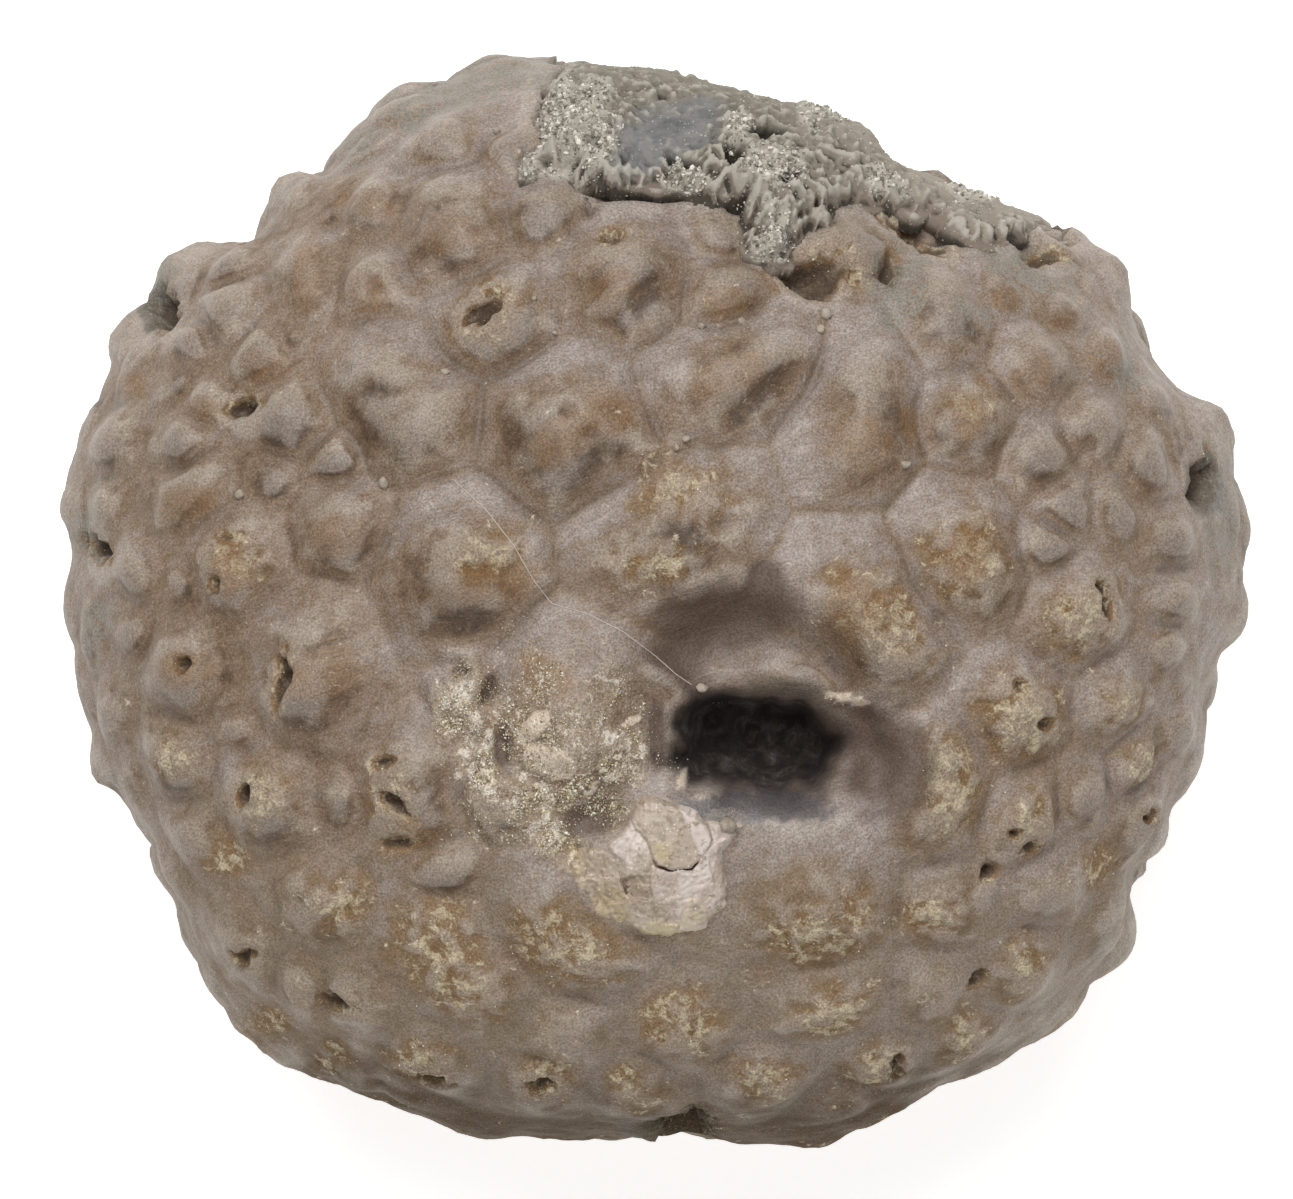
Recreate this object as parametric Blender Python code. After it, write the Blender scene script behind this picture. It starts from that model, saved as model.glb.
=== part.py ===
"""A fossil crinoid: the stone-hard cup and domed lid of a sea lily, as one lump of fused plates.

The calyx lies on its cup. +Z is up through the middle of the lid, and the table is at Z = 0.
Two nodes: the calyx itself, and the crust of grey host rock that still clings to its upper rim.
"""

import math

import bmesh
import bpy
import numpy as np

MM = 0.001

# Driving dimensions, in millimetres.
TABLE_DEPTH = 15.5  # widest line down to the table
CUP_DEPTH = 15.5  # widest line down to the smooth bottom under the plates
LID_HEIGHT = 12.9  # widest line up to the smooth crown under the plates
CUP_FULLNESS = 2.4  # 2 is an ellipse, more is squarer in section
LID_FULLNESS = 2.3
PLATE_RELIEF = 0.45  # how far the plates stand out of the smooth body at the rim
LUMP_DEPTH = 0.09  # slow unevenness of old stone
STEM_HOLLOW = (3.9, 1.0)  # radius and depth of the hollow round the stem facet
STEM_FACET = (2.0, 0.45)  # radius and height of the round facet inside it
STEM_CANAL = (0.55, 0.7)
ROCK_BED = 0.95  # the plates are this much lower under the rock
ROCK_GAP = 0.34
ROCK_STANDS = 0.45  # how far the rock stands over the smooth body
SPHERE_STEPS = 7
CALYX_TRIANGLES = 8400
ROCK_TRIANGLES = 1250

# The outline seen from above, in mm from the centre, anticlockwise from the right.
OUTLINE = [
    (23.8, 0.0), (23.7, 2.0), (23.8, 3.9), (23.4, 5.0), (23.3, 6.6), (22.7, 7.6), (21.9, 8.0),
    (20.5, 9.0), (19.9, 9.6), (19.4, 10.8), (19.3, 11.6), (19.0, 13.2), (18.7, 13.8), (17.9, 14.3),
    (16.3, 15.2), (15.7, 15.6), (13.9, 16.1), (11.5, 16.8), (10.1, 17.1), (9.4, 17.4), (9.1, 18.0),
    (8.8, 18.8), (8.3, 19.3), (6.7, 19.6), (3.5, 20.5), (1.1, 21.1), (-2.1, 21.5), (-5.1, 22.0),
    (-6.1, 22.0), (-6.9, 21.8), (-8.5, 21.0), (-9.7, 20.8), (-10.5, 20.5), (-11.3, 20.0),
    (-12.5, 18.2), (-12.8, 17.6), (-13.4, 17.2), (-14.5, 17.2), (-15.0, 17.0), (-15.2, 16.6),
    (-15.2, 15.8), (-15.4, 15.2), (-15.9, 14.5), (-16.5, 14.2), (-18.9, 14.2), (-19.6, 14.0),
    (-20.0, 13.6), (-20.3, 12.0), (-21.3, 11.2), (-21.9, 10.8), (-22.0, 10.2), (-21.9, 9.4),
    (-22.2, 8.0), (-23.1, 7.0), (-23.5, 6.0), (-23.8, 4.4), (-23.4, 2.4), (-23.6, 1.2),
    (-23.6, -1.2), (-23.1, -3.2), (-22.7, -5.2), (-22.8, -6.4), (-22.6, -7.0), (-21.7, -7.6),
    (-21.0, -8.8), (-20.1, -9.8), (-20.1, -11.1), (-19.2, -12.4), (-18.5, -14.6), (-17.9, -16.0),
    (-17.1, -16.7), (-15.9, -18.2), (-15.2, -18.7), (-14.1, -18.9), (-12.5, -19.7), (-10.9, -20.1),
    (-9.1, -21.0), (-7.1, -21.6), (-4.0, -21.6), (-1.3, -21.6), (1.1, -21.5), (2.5, -21.6),
    (4.7, -22.0), (6.7, -21.9), (8.5, -21.3), (10.3, -20.2), (12.7, -19.1), (15.9, -17.5),
    (16.9, -16.6), (17.5, -15.6), (18.9, -14.4), (19.2, -13.8), (19.1, -11.0), (19.4, -10.4),
    (20.5, -9.7), (20.7, -9.2), (20.9, -8.2), (21.9, -6.6), (22.3, -5.6), (22.0, -4.4),
    (22.1, -3.6), (22.9, -2.0), (23.6, -1.0),
]

# Plates of the lid, seen from above: x, y and half width. A long plate gives both its ends.
LID_PLATES = [
    # Round the vent.
    (-1.3, 2.2, 2.1, 3.8, 2.1), (-3.7, -2.8, -3.3, -5.6, 2.6), (-0.1, -10.0, 0.0, -11.0, 2.6),
    (5.5, -11.8, 6.5, -12.2, 2.6), (7.7, 0.4, 8.9, -1.6, 2.5), (11.1, -6.4, 11.1, -8.4, 1.9),
    (5.9, -2.8, 1.2), (-7.6, -4.0, 1.3), (-6.1, -7.6, 1.5),
    # The crown and the large plates above it.
    (-7.8, 1.4, 3.3), (-3.7, 6.9, 3.3), (-6.3, 11.3, 2.5), (-1.2, 13.0, 2.7), (2.7, 12.2, 1.7),
    (2.5, 14.6, 1.2), (1.9, 8.6, 4.9, 10.0, 2.2), (8.1, 9.2, 7.9, 6.4, 2.3),
    (11.1, 12.4, 11.5, 10.8, 1.6), (12.3, 7.4, 1.85), (7.7, 14.0, 1.8), (11.9, 2.8, 12.5, 1.2, 2.1),
    # Upper left, out to the rim.
    (-11.1, 9.0, -9.3, 7.2, 2.4), (-11.3, 12.4, 1.55), (-8.1, 16.0, -7.8, 14.2, 1.9),
    (-4.3, 15.4, 1.4), (-11.1, 15.8, 1.3), (-14.2, 14.4, -13.4, 12.0, 1.1), (-12.7, 16.4, 0.7),
    (-14.3, 16.6, 0.9), (-12.8, 15.3, 0.35), (-10.1, 19.4, 1.2), (-11.5, 18.2, 0.9),
    (-8.3, 18.2, 1.6), (-5.8, 18.0, 1.1), (-8.9, 20.4, 1.0), (-6.9, 21.2, -4.7, 21.2, 0.75),
    (-17.1, 11.6, 1.5), (-15.5, 9.8, 1.2), (-14.5, 10.4, 0.6), (-16.9, 13.3, 1.1),
    (-19.2, 13.6, 1.0), (-18.4, 12.5, 0.5), (-21.5, 10.6, -20.5, 10.5, 0.7), (-20.9, 8.9, 0.95),
    (-18.3, 10.4, 1.2), (-18.9, 8.9, 0.7), (-17.9, 7.9, 0.95), (-14.5, 7.4, 1.9),
    # Left.
    (-12.7, 5.6, 1.1), (-12.3, 3.0, 1.9), (-19.1, 4.0, -17.9, 4.6, 1.3), (-21.5, 6.4, 1.4),
    (-15.3, 4.9, 0.9), (-18.7, 6.4, 1.2), (-16.7, 1.7, 2.2), (-21.9, 3.8, 1.0), (-23.2, 4.6, 0.7),
    (-20.7, 1.2, 1.1), (-18.7, 0.6, 0.8), (-23.1, 0.8, 0.9), (-22.5, -1.6, 0.9), (-20.9, -1.2, 0.9),
    (-18.7, -2.6, 1.8), (-17.1, -1.6, -17.0, -4.0, 0.6), (-13.6, -1.8, -13.6, -3.2, 2.5),
    (-19.1, -6.3, 1.5), (-21.7, -4.4, 1.1), (-21.9, -6.6, 0.8), (-15.4, -7.8, 2.0),
    (-20.9, -7.6, 0.8), (-16.7, -5.1, 0.8), (-9.7, -6.0, -9.8, -8.4, 2.0), (-12.5, -8.0, 0.9),
    # Lower left and the lower rim.
    (-18.5, -9.2, 1.2), (-19.5, -10.6, 0.9), (-13.7, -11.8, 1.8), (-8.5, -10.6, 1.3),
    (-8.9, -13.2, -6.9, -15.4, 1.9), (-4.3, -12.0, -2.9, -13.8, 2.2), (-16.3, -14.0, 1.6),
    (-14.1, -15.4, 1.2), (-17.5, -15.0, 1.0), (-12.1, -16.0, 1.4), (-12.1, -19.0, 1.1),
    (-15.5, -17.4, 1.1), (-10.1, -19.8, 1.0), (-8.7, -18.4, 1.4), (-4.7, -19.4, 1.4),
    (-3.7, -17.2, 1.6), (-0.5, -19.6, 1.5), (1.1, -17.0, 1.7), (4.3, -19.2, 1.6),
    (5.5, -16.0, 7.9, -15.8, 1.5), (7.5, -20.0, 1.3), (9.1, -18.6, 1.4),
    # Lower right.
    (11.5, -12.2, 1.5), (11.1, -15.6, 1.5), (15.8, -11.5, 1.4), (14.7, -14.8, 1.5),
    (12.3, -17.6, 1.4), (17.9, -13.0, 1.2), (16.3, -16.8, 1.0), (14.7, -8.6, 1.6),
    (19.3, -8.6, 1.4), (17.1, -7.6, 1.2),
    # Right.
    (14.2, -4.2, 2.1), (16.8, -0.4, 2.1), (18.3, -4.0, 1.5), (19.1, -6.4, 1.2), (20.7, 0.0, 1.3),
    (20.3, -1.8, 1.1), (20.9, -5.0, 1.1), (21.1, -3.4, 0.8), (20.5, 2.4, 1.3), (22.9, 0.8, 1.0),
    (22.5, 6.6, 1.1), (22.7, 3.2, 0.9), (20.9, 6.0, 21.5, 7.0, 0.6), (19.5, 5.6, 1.4),
    # Upper right, out to the rim.
    (17.5, 7.0, 1.3), (15.1, 5.8, 1.3), (16.3, 3.8, 1.2), (18.3, 3.6, 1.1), (15.5, 2.2, 1.1),
    (14.9, 9.4, 1.5), (17.9, 10.0, 1.2), (13.9, 12.4, 0.9), (16.3, 11.6, 0.9), (17.9, 13.0, 1.0),
    (19.9, 8.0, 1.0), (16.3, 13.6, 0.9),
]

# Rings of plates round the cup: degrees below the widest line, how many, half width.
CUP_RINGS = [(-1, 40, 1.5), (9, 38, 1.6), (19, 28, 2.2), (30, 19, 2.6), (43, 12, 3.2), (60, 6, 3.6),
             (77, 3, 2.3)]
CUP_SEED = 31
CUP_JITTER = 0.16  # of the spacing

# Pits of the lid: x, y, half length, half width, direction in degrees, depth.
LID_PITS = [
    (-6.6, 11.4, 1.1, 0.5, 38, 0.9), (-16.4, 7.7, 0.8, 0.35, 15, 0.9),
    (-14.5, -3.2, 1.2, 0.4, 75, 0.9), (-18.5, -2.5, 0.4, 0.35, 0, 0.7),
    (17.7, -0.1, 0.8, 0.25, -75, 0.9), (-19.5, 11.6, 0.8, 0.4, 80, 1.3),
    (21.8, 4.8, 0.9, 0.45, 85, 1.6), (-22.2, 2.1, 0.6, 0.35, -50, 0.8),
    (-16.1, -7.6, 0.5, 0.35, 60, 0.8), (-10.7, -6.4, 0.6, 0.3, 10, 0.6),
    (-10.1, -8.0, 0.9, 0.3, -40, 0.7), (-10.1, -9.6, 0.6, 0.3, 0, 0.6),
    (-16.2, -14.0, 0.45, 0.4, 0, 0.6), (-4.5, -19.2, 0.6, 0.3, 0, 0.6),
    (-8.7, -19.0, 0.7, 0.35, 0, 0.8), (12.9, -15.1, 0.5, 0.25, 45, 0.7),
    (14.9, -9.7, 0.45, 0.35, 20, 0.7), (14.2, -9.2, 0.3, 0.25, 90, 0.6),
    (13.3, -10.8, 0.4, 0.3, 30, 0.6), (19.5, -8.5, 0.4, 0.25, 0, 0.6),
    (9.6, -18.4, 0.6, 0.25, 80, 0.7), (1.1, -21.0, 1.2, 0.6, 0, 1.0),
    (-1.7, 14.3, 0.45, 0.4, 0, 0.35), (-16.7, 2.4, 0.6, 0.35, 0, 0.35),
    (-17.2, 0.7, 0.4, 0.3, 0, 0.5), (15.2, -4.8, 0.4, 0.35, 0, 0.5),
    (14.3, -3.3, 0.3, 0.3, 0, 0.4), (15.5, 13.8, 0.8, 0.35, 0, 0.7),
    (-6.7, -3.6, 0.7, 0.3, 70, 0.7), (-7.7, -2.8, 0.35, 0.3, 0, 0.5),
    (-12.5, -16.0, 0.8, 0.4, 0, 0.6), (10.5, 14.7, 1.6, 0.5, -25, 1.1),
    (9.3, 13.2, 0.7, 0.4, 90, 0.8), (6.3, 13.0, 1.6, 0.8, 0, 0.8),
]

# The vent: where it is from above, its half length, half width, slant and depth,
# and the wider funnel of smooth stone that leads down to it.
VENT = (4.3, -6.0, 3.95, 2.65, -6, 5.6)
VENT_SQUARENESS = 2.8
VENT_FUNNEL = (3.6, -3.9, 6.0, 4.7, -8, 2.3)

# Arm sockets below the rim: the middle of each of the five rays, and the sockets beside it.
RAYS = [51, 123, 195, 267, 339]
SOCKET_TURNS = [-17, -6, 6, 17]
SOCKET = (0.62, 0.9, -3.0)  # radius, depth, height over the widest line

# The rock: its edge on the unrolled plan, where the side of the cup continues outward.
ROCK_EDGE = [
    (16.6, 14.4), (14.7, 14.5), (13.3, 14.0), (12.1, 14.5), (11.1, 15.3), (9.5, 15.7), (8.3, 15.8),
    (6.9, 14.9), (5.9, 14.0), (4.8, 12.7), (3.9, 13.6), (3.3, 15.4), (1.9, 16.0), (-0.5, 16.4),
    (-2.5, 16.2), (-3.7, 16.9), (-5.5, 16.5), (-5.2, 17.6), (-4.6, 18.4), (-4.7, 20.0), (-3.8, 22.2),
    (-3.2, 24.4), (1.0, 25.4), (6.0, 24.4), (10.5, 22.0), (14.5, 19.6), (18.2, 17.6), (18.3, 15.6),
]


def start_clean():
    for thing in list(bpy.data.objects):
        bpy.data.objects.remove(thing, do_unlink=True)


def sphere_net(steps):
    """Unit directions spread evenly all round, and the triangles that join them."""
    net = bmesh.new()
    bmesh.ops.create_icosphere(net, subdivisions=steps, radius=1.0)
    directions = np.array([corner.co for corner in net.verts])
    triangles = np.array([[corner.index for corner in face.verts] for face in net.faces])
    net.free()
    return directions / np.linalg.norm(directions, axis=1)[:, None], triangles


def outline_radii():
    """Radius of the outline at each half degree: as measured, and smoothed over about 12 degrees."""
    edge = np.array(OUTLINE)
    turn = np.degrees(np.arctan2(edge[:, 1], edge[:, 0]))
    order = np.argsort(turn)
    grid = np.arange(-180, 180, 0.5)
    measured = np.interp(grid, turn[order], np.hypot(*edge.T)[order], period=360)
    measured -= PLATE_RELIEF
    reach = np.arange(-80, 81)
    weight = np.exp(-((reach * 0.5 / 12) ** 2) / 2)
    smooth = sum(np.roll(measured, step) * share for step, share in zip(reach, weight))
    return grid, measured, smooth / weight.sum()


TURNS, RIM, SMOOTH_RIM = outline_radii()


def rim_at(x, y, radii):
    return np.interp(np.degrees(np.arctan2(y, x)), TURNS, radii, period=360)


def smooth_body(directions):
    """The body without its plates: a low dome over a deeper bowl, widest at Z = 0."""
    across = np.hypot(directions[:, 0], directions[:, 1])
    up = directions[:, 2]
    radius = rim_at(directions[:, 0], directions[:, 1], SMOOTH_RIM)
    height = np.where(up > 0, LID_HEIGHT, CUP_DEPTH)
    power = np.where(up > 0, LID_FULLNESS, CUP_FULLNESS)
    reach = ((across / radius) ** power + (np.abs(up) / height) ** power) ** (-1 / power)
    points = directions * reach[:, None]
    swell = rim_at(points[:, 0], points[:, 1], RIM - SMOOTH_RIM)
    swell *= np.exp(-((points[:, 2] / 3.2) ** 2))
    points[:, :2] *= (1 + swell / radius)[:, None]
    return points


def on_lid(x, y):
    share = min(math.hypot(x, y) / float(rim_at(x, y, SMOOTH_RIM)), 0.999)
    return np.array([x, y, LID_HEIGHT * (1 - share**LID_FULLNESS) ** (1 / LID_FULLNESS)])


def outward(points, triangles):
    """Unit normal at each point."""
    corners = points[triangles]
    faces = np.cross(corners[:, 1] - corners[:, 0], corners[:, 2] - corners[:, 0])
    normals = np.zeros_like(points)
    for corner in range(3):
        np.add.at(normals, triangles[:, corner], faces)
    return normals / np.linalg.norm(normals, axis=1)[:, None]


def plates():
    """Every plate as two ends and a half width: the lid's by hand, the cup's in rings."""
    found = []
    for plate in LID_PLATES:
        ends = plate[:-1] if len(plate) == 5 else plate[:-1] * 2
        found.append((on_lid(ends[0], ends[1]), on_lid(ends[2], ends[3]), plate[-1]))
    chance = np.random.default_rng(CUP_SEED)
    for below, count, half_width in CUP_RINGS:
        turn = (np.arange(count) + chance.uniform(0, 1)) * math.tau / count
        turn += chance.uniform(-CUP_JITTER, CUP_JITTER, count) * math.tau / count
        tilt = np.radians(-below + chance.uniform(-2, 2, count))
        flat = np.cos(tilt)
        spread = np.stack([flat * np.cos(turn), flat * np.sin(turn), np.sin(tilt)], axis=1)
        for point in smooth_body(spread):
            found.append((point, point, half_width * chance.uniform(0.88, 1.12)))
    return found


def distance_to(points, start, end):
    """Distance from each point to the straight line between two ends."""
    run = end - start
    length = float(run @ run)
    along = np.clip((points - start) @ run / length, 0, 1) if length else np.zeros(len(points))
    return np.linalg.norm(points - start - along[:, None] * run, axis=1)


def plate_relief(points):
    """Height of the plates: each one swells from its suture to its middle."""
    first = np.full(len(points), 1e6)
    second = np.full(len(points), 1e6)
    widths = np.zeros(len(points))
    for start, end, half_width in plates():
        gap = distance_to(points, start, end) - half_width
        closer = gap < first
        second = np.where(closer, first, np.minimum(second, gap))
        first = np.where(closer, gap, first)
        widths = np.where(closer, half_width, widths)
    suture = (second - first) / 2
    share = suture / np.maximum(suture + first + widths, 0.05)
    share = np.clip(share, 0, 1)
    cushion = 1 - (1 - share) ** 3
    boss = fade(-share, -0.95, -0.3)
    return (0.24 + 0.25 * widths) * (0.68 * cushion + 0.32 * boss) - 0.14


def ellipse_share(x, y, middle_x, middle_y, half_length, half_width, turn, power=2.0):
    """0 at the middle of a slanted ellipse, 1 on its edge. A higher power squares its ends."""
    angle = math.radians(turn)
    along = (x - middle_x) * math.cos(angle) + (y - middle_y) * math.sin(angle)
    aside = (y - middle_y) * math.cos(angle) - (x - middle_x) * math.sin(angle)
    shares = np.abs(along / half_length) ** power + np.abs(aside / half_width) ** power
    return shares ** (1 / power)


def fade(share, full, none):
    """1 up to full, 0 from none on, with a soft step between."""
    step = np.clip((none - share) / (none - full), 0, 1)
    return step * step * (3 - 2 * step)


def pits(points):
    depth = np.zeros(len(points))
    upper = points[:, 2] > 0
    for x, y, half_length, half_width, turn, deep in LID_PITS:
        share = ellipse_share(points[:, 0], points[:, 1], x, y, half_length, half_width, turn)
        depth += deep * fade(share, 0.35, 1.35) * upper
    for ray in RAYS:
        for turn in SOCKET_TURNS:
            angle = math.radians(ray + turn)
            radius, deep, height = SOCKET
            aim = np.array([[math.cos(angle) * 0.992, math.sin(angle) * 0.992, height / 23]])
            share = np.linalg.norm(points - smooth_body(aim)[0], axis=1) / radius
            depth += deep * fade(share, 0.4, 1.4)
    return depth


def stem_scar(points):
    """The hollow under the cup with the round facet and the canal of the lost stem."""
    radius = np.hypot(points[:, 0], points[:, 1])
    under = points[:, 2] < 0
    hollow = STEM_HOLLOW[1] * fade(radius, STEM_HOLLOW[0] * 0.55, STEM_HOLLOW[0] * 1.25)
    facet = STEM_FACET[1] * fade(radius, STEM_FACET[0] * 0.85, STEM_FACET[0] * 1.1)
    canal = STEM_CANAL[1] * fade(radius, STEM_CANAL[0] * 0.6, STEM_CANAL[0] * 1.3)
    return (hollow - facet + canal) * under


def lumps(points):
    """Slow waves in three directions, so that no plate is a perfect cushion."""
    x, y, z = points.T
    waves = np.sin(1.9 * x + 0.7 * y + 1.1) * np.sin(1.7 * y - 0.9 * z + 0.4)
    waves += 0.8 * np.sin(2.9 * y + 1.3 * x - 2.0) * np.sin(2.3 * z + 1.2 * x + 2.2)
    return waves * LUMP_DEPTH


def unrolled(points):
    """Plan in which the side of the cup continues outward from the rim."""
    radius = np.maximum(np.hypot(points[:, 0], points[:, 1]), 1e-6)
    beyond = rim_at(points[:, 0], points[:, 1], SMOOTH_RIM) - points[:, 2]
    return points[:, :2] * np.where(points[:, 2] < 0, beyond / radius, 1)[:, None]


def inside_rock(points):
    """How far each point lies inside the rock's edge, negative outside it."""
    plan = unrolled(points)
    edge = np.array(ROCK_EDGE)
    following = np.roll(edge, -1, axis=0)
    nearest = np.full(len(plan), 1e6)
    inside = np.zeros(len(plan), bool)
    for start, end in zip(edge, following):
        run = end - start
        along = np.clip((plan - start) @ run / (run @ run), 0, 1)
        nearest = np.minimum(nearest, np.linalg.norm(plan - start - along[:, None] * run, axis=1))
        crosses = (start[1] > plan[:, 1]) != (end[1] > plan[:, 1])
        level = (plan[:, 1] - start[1]) / (run[1] if run[1] else 1e-9)
        inside ^= crosses & (plan[:, 0] < start[0] + level * run[0])
    return np.where(inside, nearest, -nearest)


def calyx_surface(directions, triangles):
    """The finished skin of the calyx, in mm with Z = 0 at the widest line."""
    body = smooth_body(directions)
    normals = outward(body, triangles)
    height = plate_relief(body) + lumps(body) - pits(body) - stem_scar(body)
    bed = fade(-inside_rock(body), 0.35, 0.75)
    height = height * (1 - bed) - ROCK_BED * bed
    funnel = fade(ellipse_share(body[:, 0], body[:, 1], *VENT_FUNNEL[:5]), 0.25, 1.05)
    funnel *= body[:, 2] > 0
    height *= 1 - 0.55 * funnel
    skin = body + normals * height[:, None]
    mouth = ellipse_share(body[:, 0], body[:, 1], *VENT[:5], power=VENT_SQUARENESS)
    vent = fade(mouth, 0.82, 1.05) * (body[:, 2] > 0)
    skin[:, 2] -= VENT_FUNNEL[5] * funnel + VENT[5] * vent
    return skin


def largest_patch(triangles, count):
    """The triangles of the largest patch that hangs together."""
    label = np.arange(count)
    while True:
        lowest = label.copy()
        np.minimum.at(lowest, triangles.ravel(), np.repeat(label[triangles].min(axis=1), 3))
        if (lowest == label).all():
            break
        label = lowest
    patch = label[triangles[:, 0]]
    return triangles[patch == np.bincount(patch).argmax()]


def rock_shell(directions, triangles):
    """The rock: a closed slab that follows the bed below and is lumpy above."""
    body = smooth_body(directions)
    normals = outward(body, triangles)
    depth_in = inside_rock(body)
    kept = largest_patch(triangles[(depth_in[triangles] > 0).all(axis=1)], len(body))
    used = np.unique(kept)
    place = np.full(len(body), -1)
    place[used] = np.arange(len(used))
    kept = place[kept]
    body, normals, depth_in = body[used], normals[used], depth_in[used]
    x, y, z = body.T
    rough = 0.28 * np.sin(1.9 * x + 1.0) * np.sin(1.6 * z + 1.2 * y)
    rough += 0.17 * np.sin(3.4 * x - 1.9 * z + 0.5) * np.sin(2.9 * z + 2.1 * x)
    crest = 0.75 * np.exp(-(((x + 3.2) / 1.6) ** 2) - ((y - 18.6) / 1.4) ** 2)
    crest += 0.85 * np.exp(-(((x - 4.4) / 1.5) ** 2) - ((y - 15.6) / 1.7) ** 2)
    sunk = 0.55 * np.exp(-(((x - 1.6) / 1.5) ** 2) - ((y - 17.6) / 0.8) ** 2)
    top = ROCK_STANDS + (rough + crest - sunk) * fade(-z, 0.0, 6.0) * fade(-y, -14.0, -12.5)
    edge_drop = 0.5 * (1 - np.clip(depth_in / 0.8, 0, 1)) ** 2
    outer = body + normals * (top - edge_drop)[:, None]
    inner = body - normals * (ROCK_BED - ROCK_GAP)
    count = len(body)
    sides = np.concatenate([kept[:, [0, 1]], kept[:, [1, 2]], kept[:, [2, 0]]])
    pair, where, times = np.unique(np.sort(sides, 1), axis=0, return_index=True, return_counts=True)
    rim = sides[where[times == 1]]
    walls = np.concatenate([
        np.stack([rim[:, 1], rim[:, 0], rim[:, 0] + count], axis=1),
        np.stack([rim[:, 1], rim[:, 0] + count, rim[:, 1] + count], axis=1),
    ])
    faces = np.concatenate([kept, kept[:, ::-1] + count, walls])
    return np.concatenate([outer, inner]), faces


def stone(name, color, roughness):
    material = bpy.data.materials.new(name)
    material.use_nodes = True
    surface = material.node_tree.nodes["Principled BSDF"]
    surface.inputs["Base Color"].default_value = (*color, 1.0)
    surface.inputs["Roughness"].default_value = roughness
    return material


def make_node(name, points, triangles, material, budget):
    """A mesh object in metres with its lowest crests worn flat on the table."""
    mesh = bpy.data.meshes.new(name)
    mesh.from_pydata([tuple(point) for point in points * MM], [], triangles.tolist())
    node = bpy.data.objects.new(name, mesh)
    bpy.context.collection.objects.link(node)
    thin = node.modifiers.new("fewer triangles", "DECIMATE")
    thin.ratio = budget / len(triangles)
    thin.use_collapse_triangulate = True
    bpy.context.view_layer.update()
    reduced = bpy.data.meshes.new_from_object(node.evaluated_get(bpy.context.evaluated_depsgraph_get()))
    node.modifiers.clear()
    node.data = reduced
    node.data.name = name
    for corner in node.data.vertices:
        corner.co.z = max(corner.co.z, 0.0)
    node.data.materials.clear()
    node.data.materials.append(material)
    return node


def build():
    start_clean()
    directions, triangles = sphere_net(SPHERE_STEPS)
    lift = np.array([0.0, 0.0, TABLE_DEPTH])
    calcite = stone("weathered_calcite_plates", (0.30, 0.25, 0.20), 0.72)
    limestone = stone("grey_host_limestone", (0.27, 0.27, 0.26), 0.88)
    skin = calyx_surface(directions, triangles)
    make_node("calyx", skin + lift, triangles, calcite, CALYX_TRIANGLES)
    rock, rock_faces = rock_shell(directions, triangles)
    make_node("matrix", rock + lift, rock_faces, limestone, ROCK_TRIANGLES)


build()
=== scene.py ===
# %% [markdown]
# # A fossil crinoid: a sea lily's cup, turned to stone
# The real thing is the calyx of a crinoid, a bag of small plates that held the animal's body.
# After burial each plate filled with calcite and the plates fused, so the whole is one lump.
# A crust of the grey mud that buried it still clings to the upper rim as a second, rougher stone.
# We start from the solid model of those two lumps. It fixes every size, and it never moves.

# %% Load the solid model
import math

import bmesh
import bpy
import numpy as np
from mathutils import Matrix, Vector, noise
from mathutils.bvhtree import BVHTree


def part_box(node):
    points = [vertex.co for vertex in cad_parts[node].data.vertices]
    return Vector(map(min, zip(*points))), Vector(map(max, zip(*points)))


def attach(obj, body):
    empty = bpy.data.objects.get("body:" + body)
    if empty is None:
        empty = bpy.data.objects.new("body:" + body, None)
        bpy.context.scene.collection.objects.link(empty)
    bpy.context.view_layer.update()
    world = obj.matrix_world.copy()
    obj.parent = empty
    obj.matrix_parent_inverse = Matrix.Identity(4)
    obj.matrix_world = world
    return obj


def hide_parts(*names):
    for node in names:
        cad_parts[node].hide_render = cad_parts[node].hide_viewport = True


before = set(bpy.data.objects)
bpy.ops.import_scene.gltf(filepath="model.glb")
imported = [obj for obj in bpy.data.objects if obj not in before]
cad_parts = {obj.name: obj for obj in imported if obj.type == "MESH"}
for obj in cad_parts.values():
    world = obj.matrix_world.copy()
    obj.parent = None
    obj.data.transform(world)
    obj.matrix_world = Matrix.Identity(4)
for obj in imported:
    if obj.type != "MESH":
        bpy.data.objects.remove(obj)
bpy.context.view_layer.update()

MM = 0.001
CALYX_BOX = np.array([tuple(corner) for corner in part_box("calyx")]) / MM
MATRIX_BOX = np.array([tuple(corner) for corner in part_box("matrix")]) / MM

# %% [markdown]
# ## The plan of the calyx
# The solid model is coarse, a few thousand flat triangles, because it only has to lie, collide and
# measure right. The eye wants the waxy swell of every plate, the pits and the crystal grains.
# We could sculpt those over the coarse triangles, but the facets would show through.
# So we work the same lump out again from the same measurements on a much finer net.
# These are those measurements, in millimetres: the outline, the plates, the pits and the vent.

# %% Sizes shared with the solid model
TABLE_DEPTH = 15.5  # widest line down to the table
CUP_DEPTH = 15.5
LID_HEIGHT = 12.9  # widest line up to the smooth crown
CUP_FULLNESS = 2.4
LID_FULLNESS = 2.3
PLATE_RELIEF = 0.45  # how far the plates stand out at the widest line
STEM_HOLLOW = (3.9, 1.0)  # radius and depth, as in the next two
STEM_FACET = (2.0, 0.45)
STEM_CANAL = (0.55, 0.7)
ROCK_BED = 0.95  # how deep the rock sinks into the calyx
ROCK_STANDS = 0.45  # and how far it stands over it
print("calyx, mm high:", TABLE_DEPTH + LID_HEIGHT, "without its plates")

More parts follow.
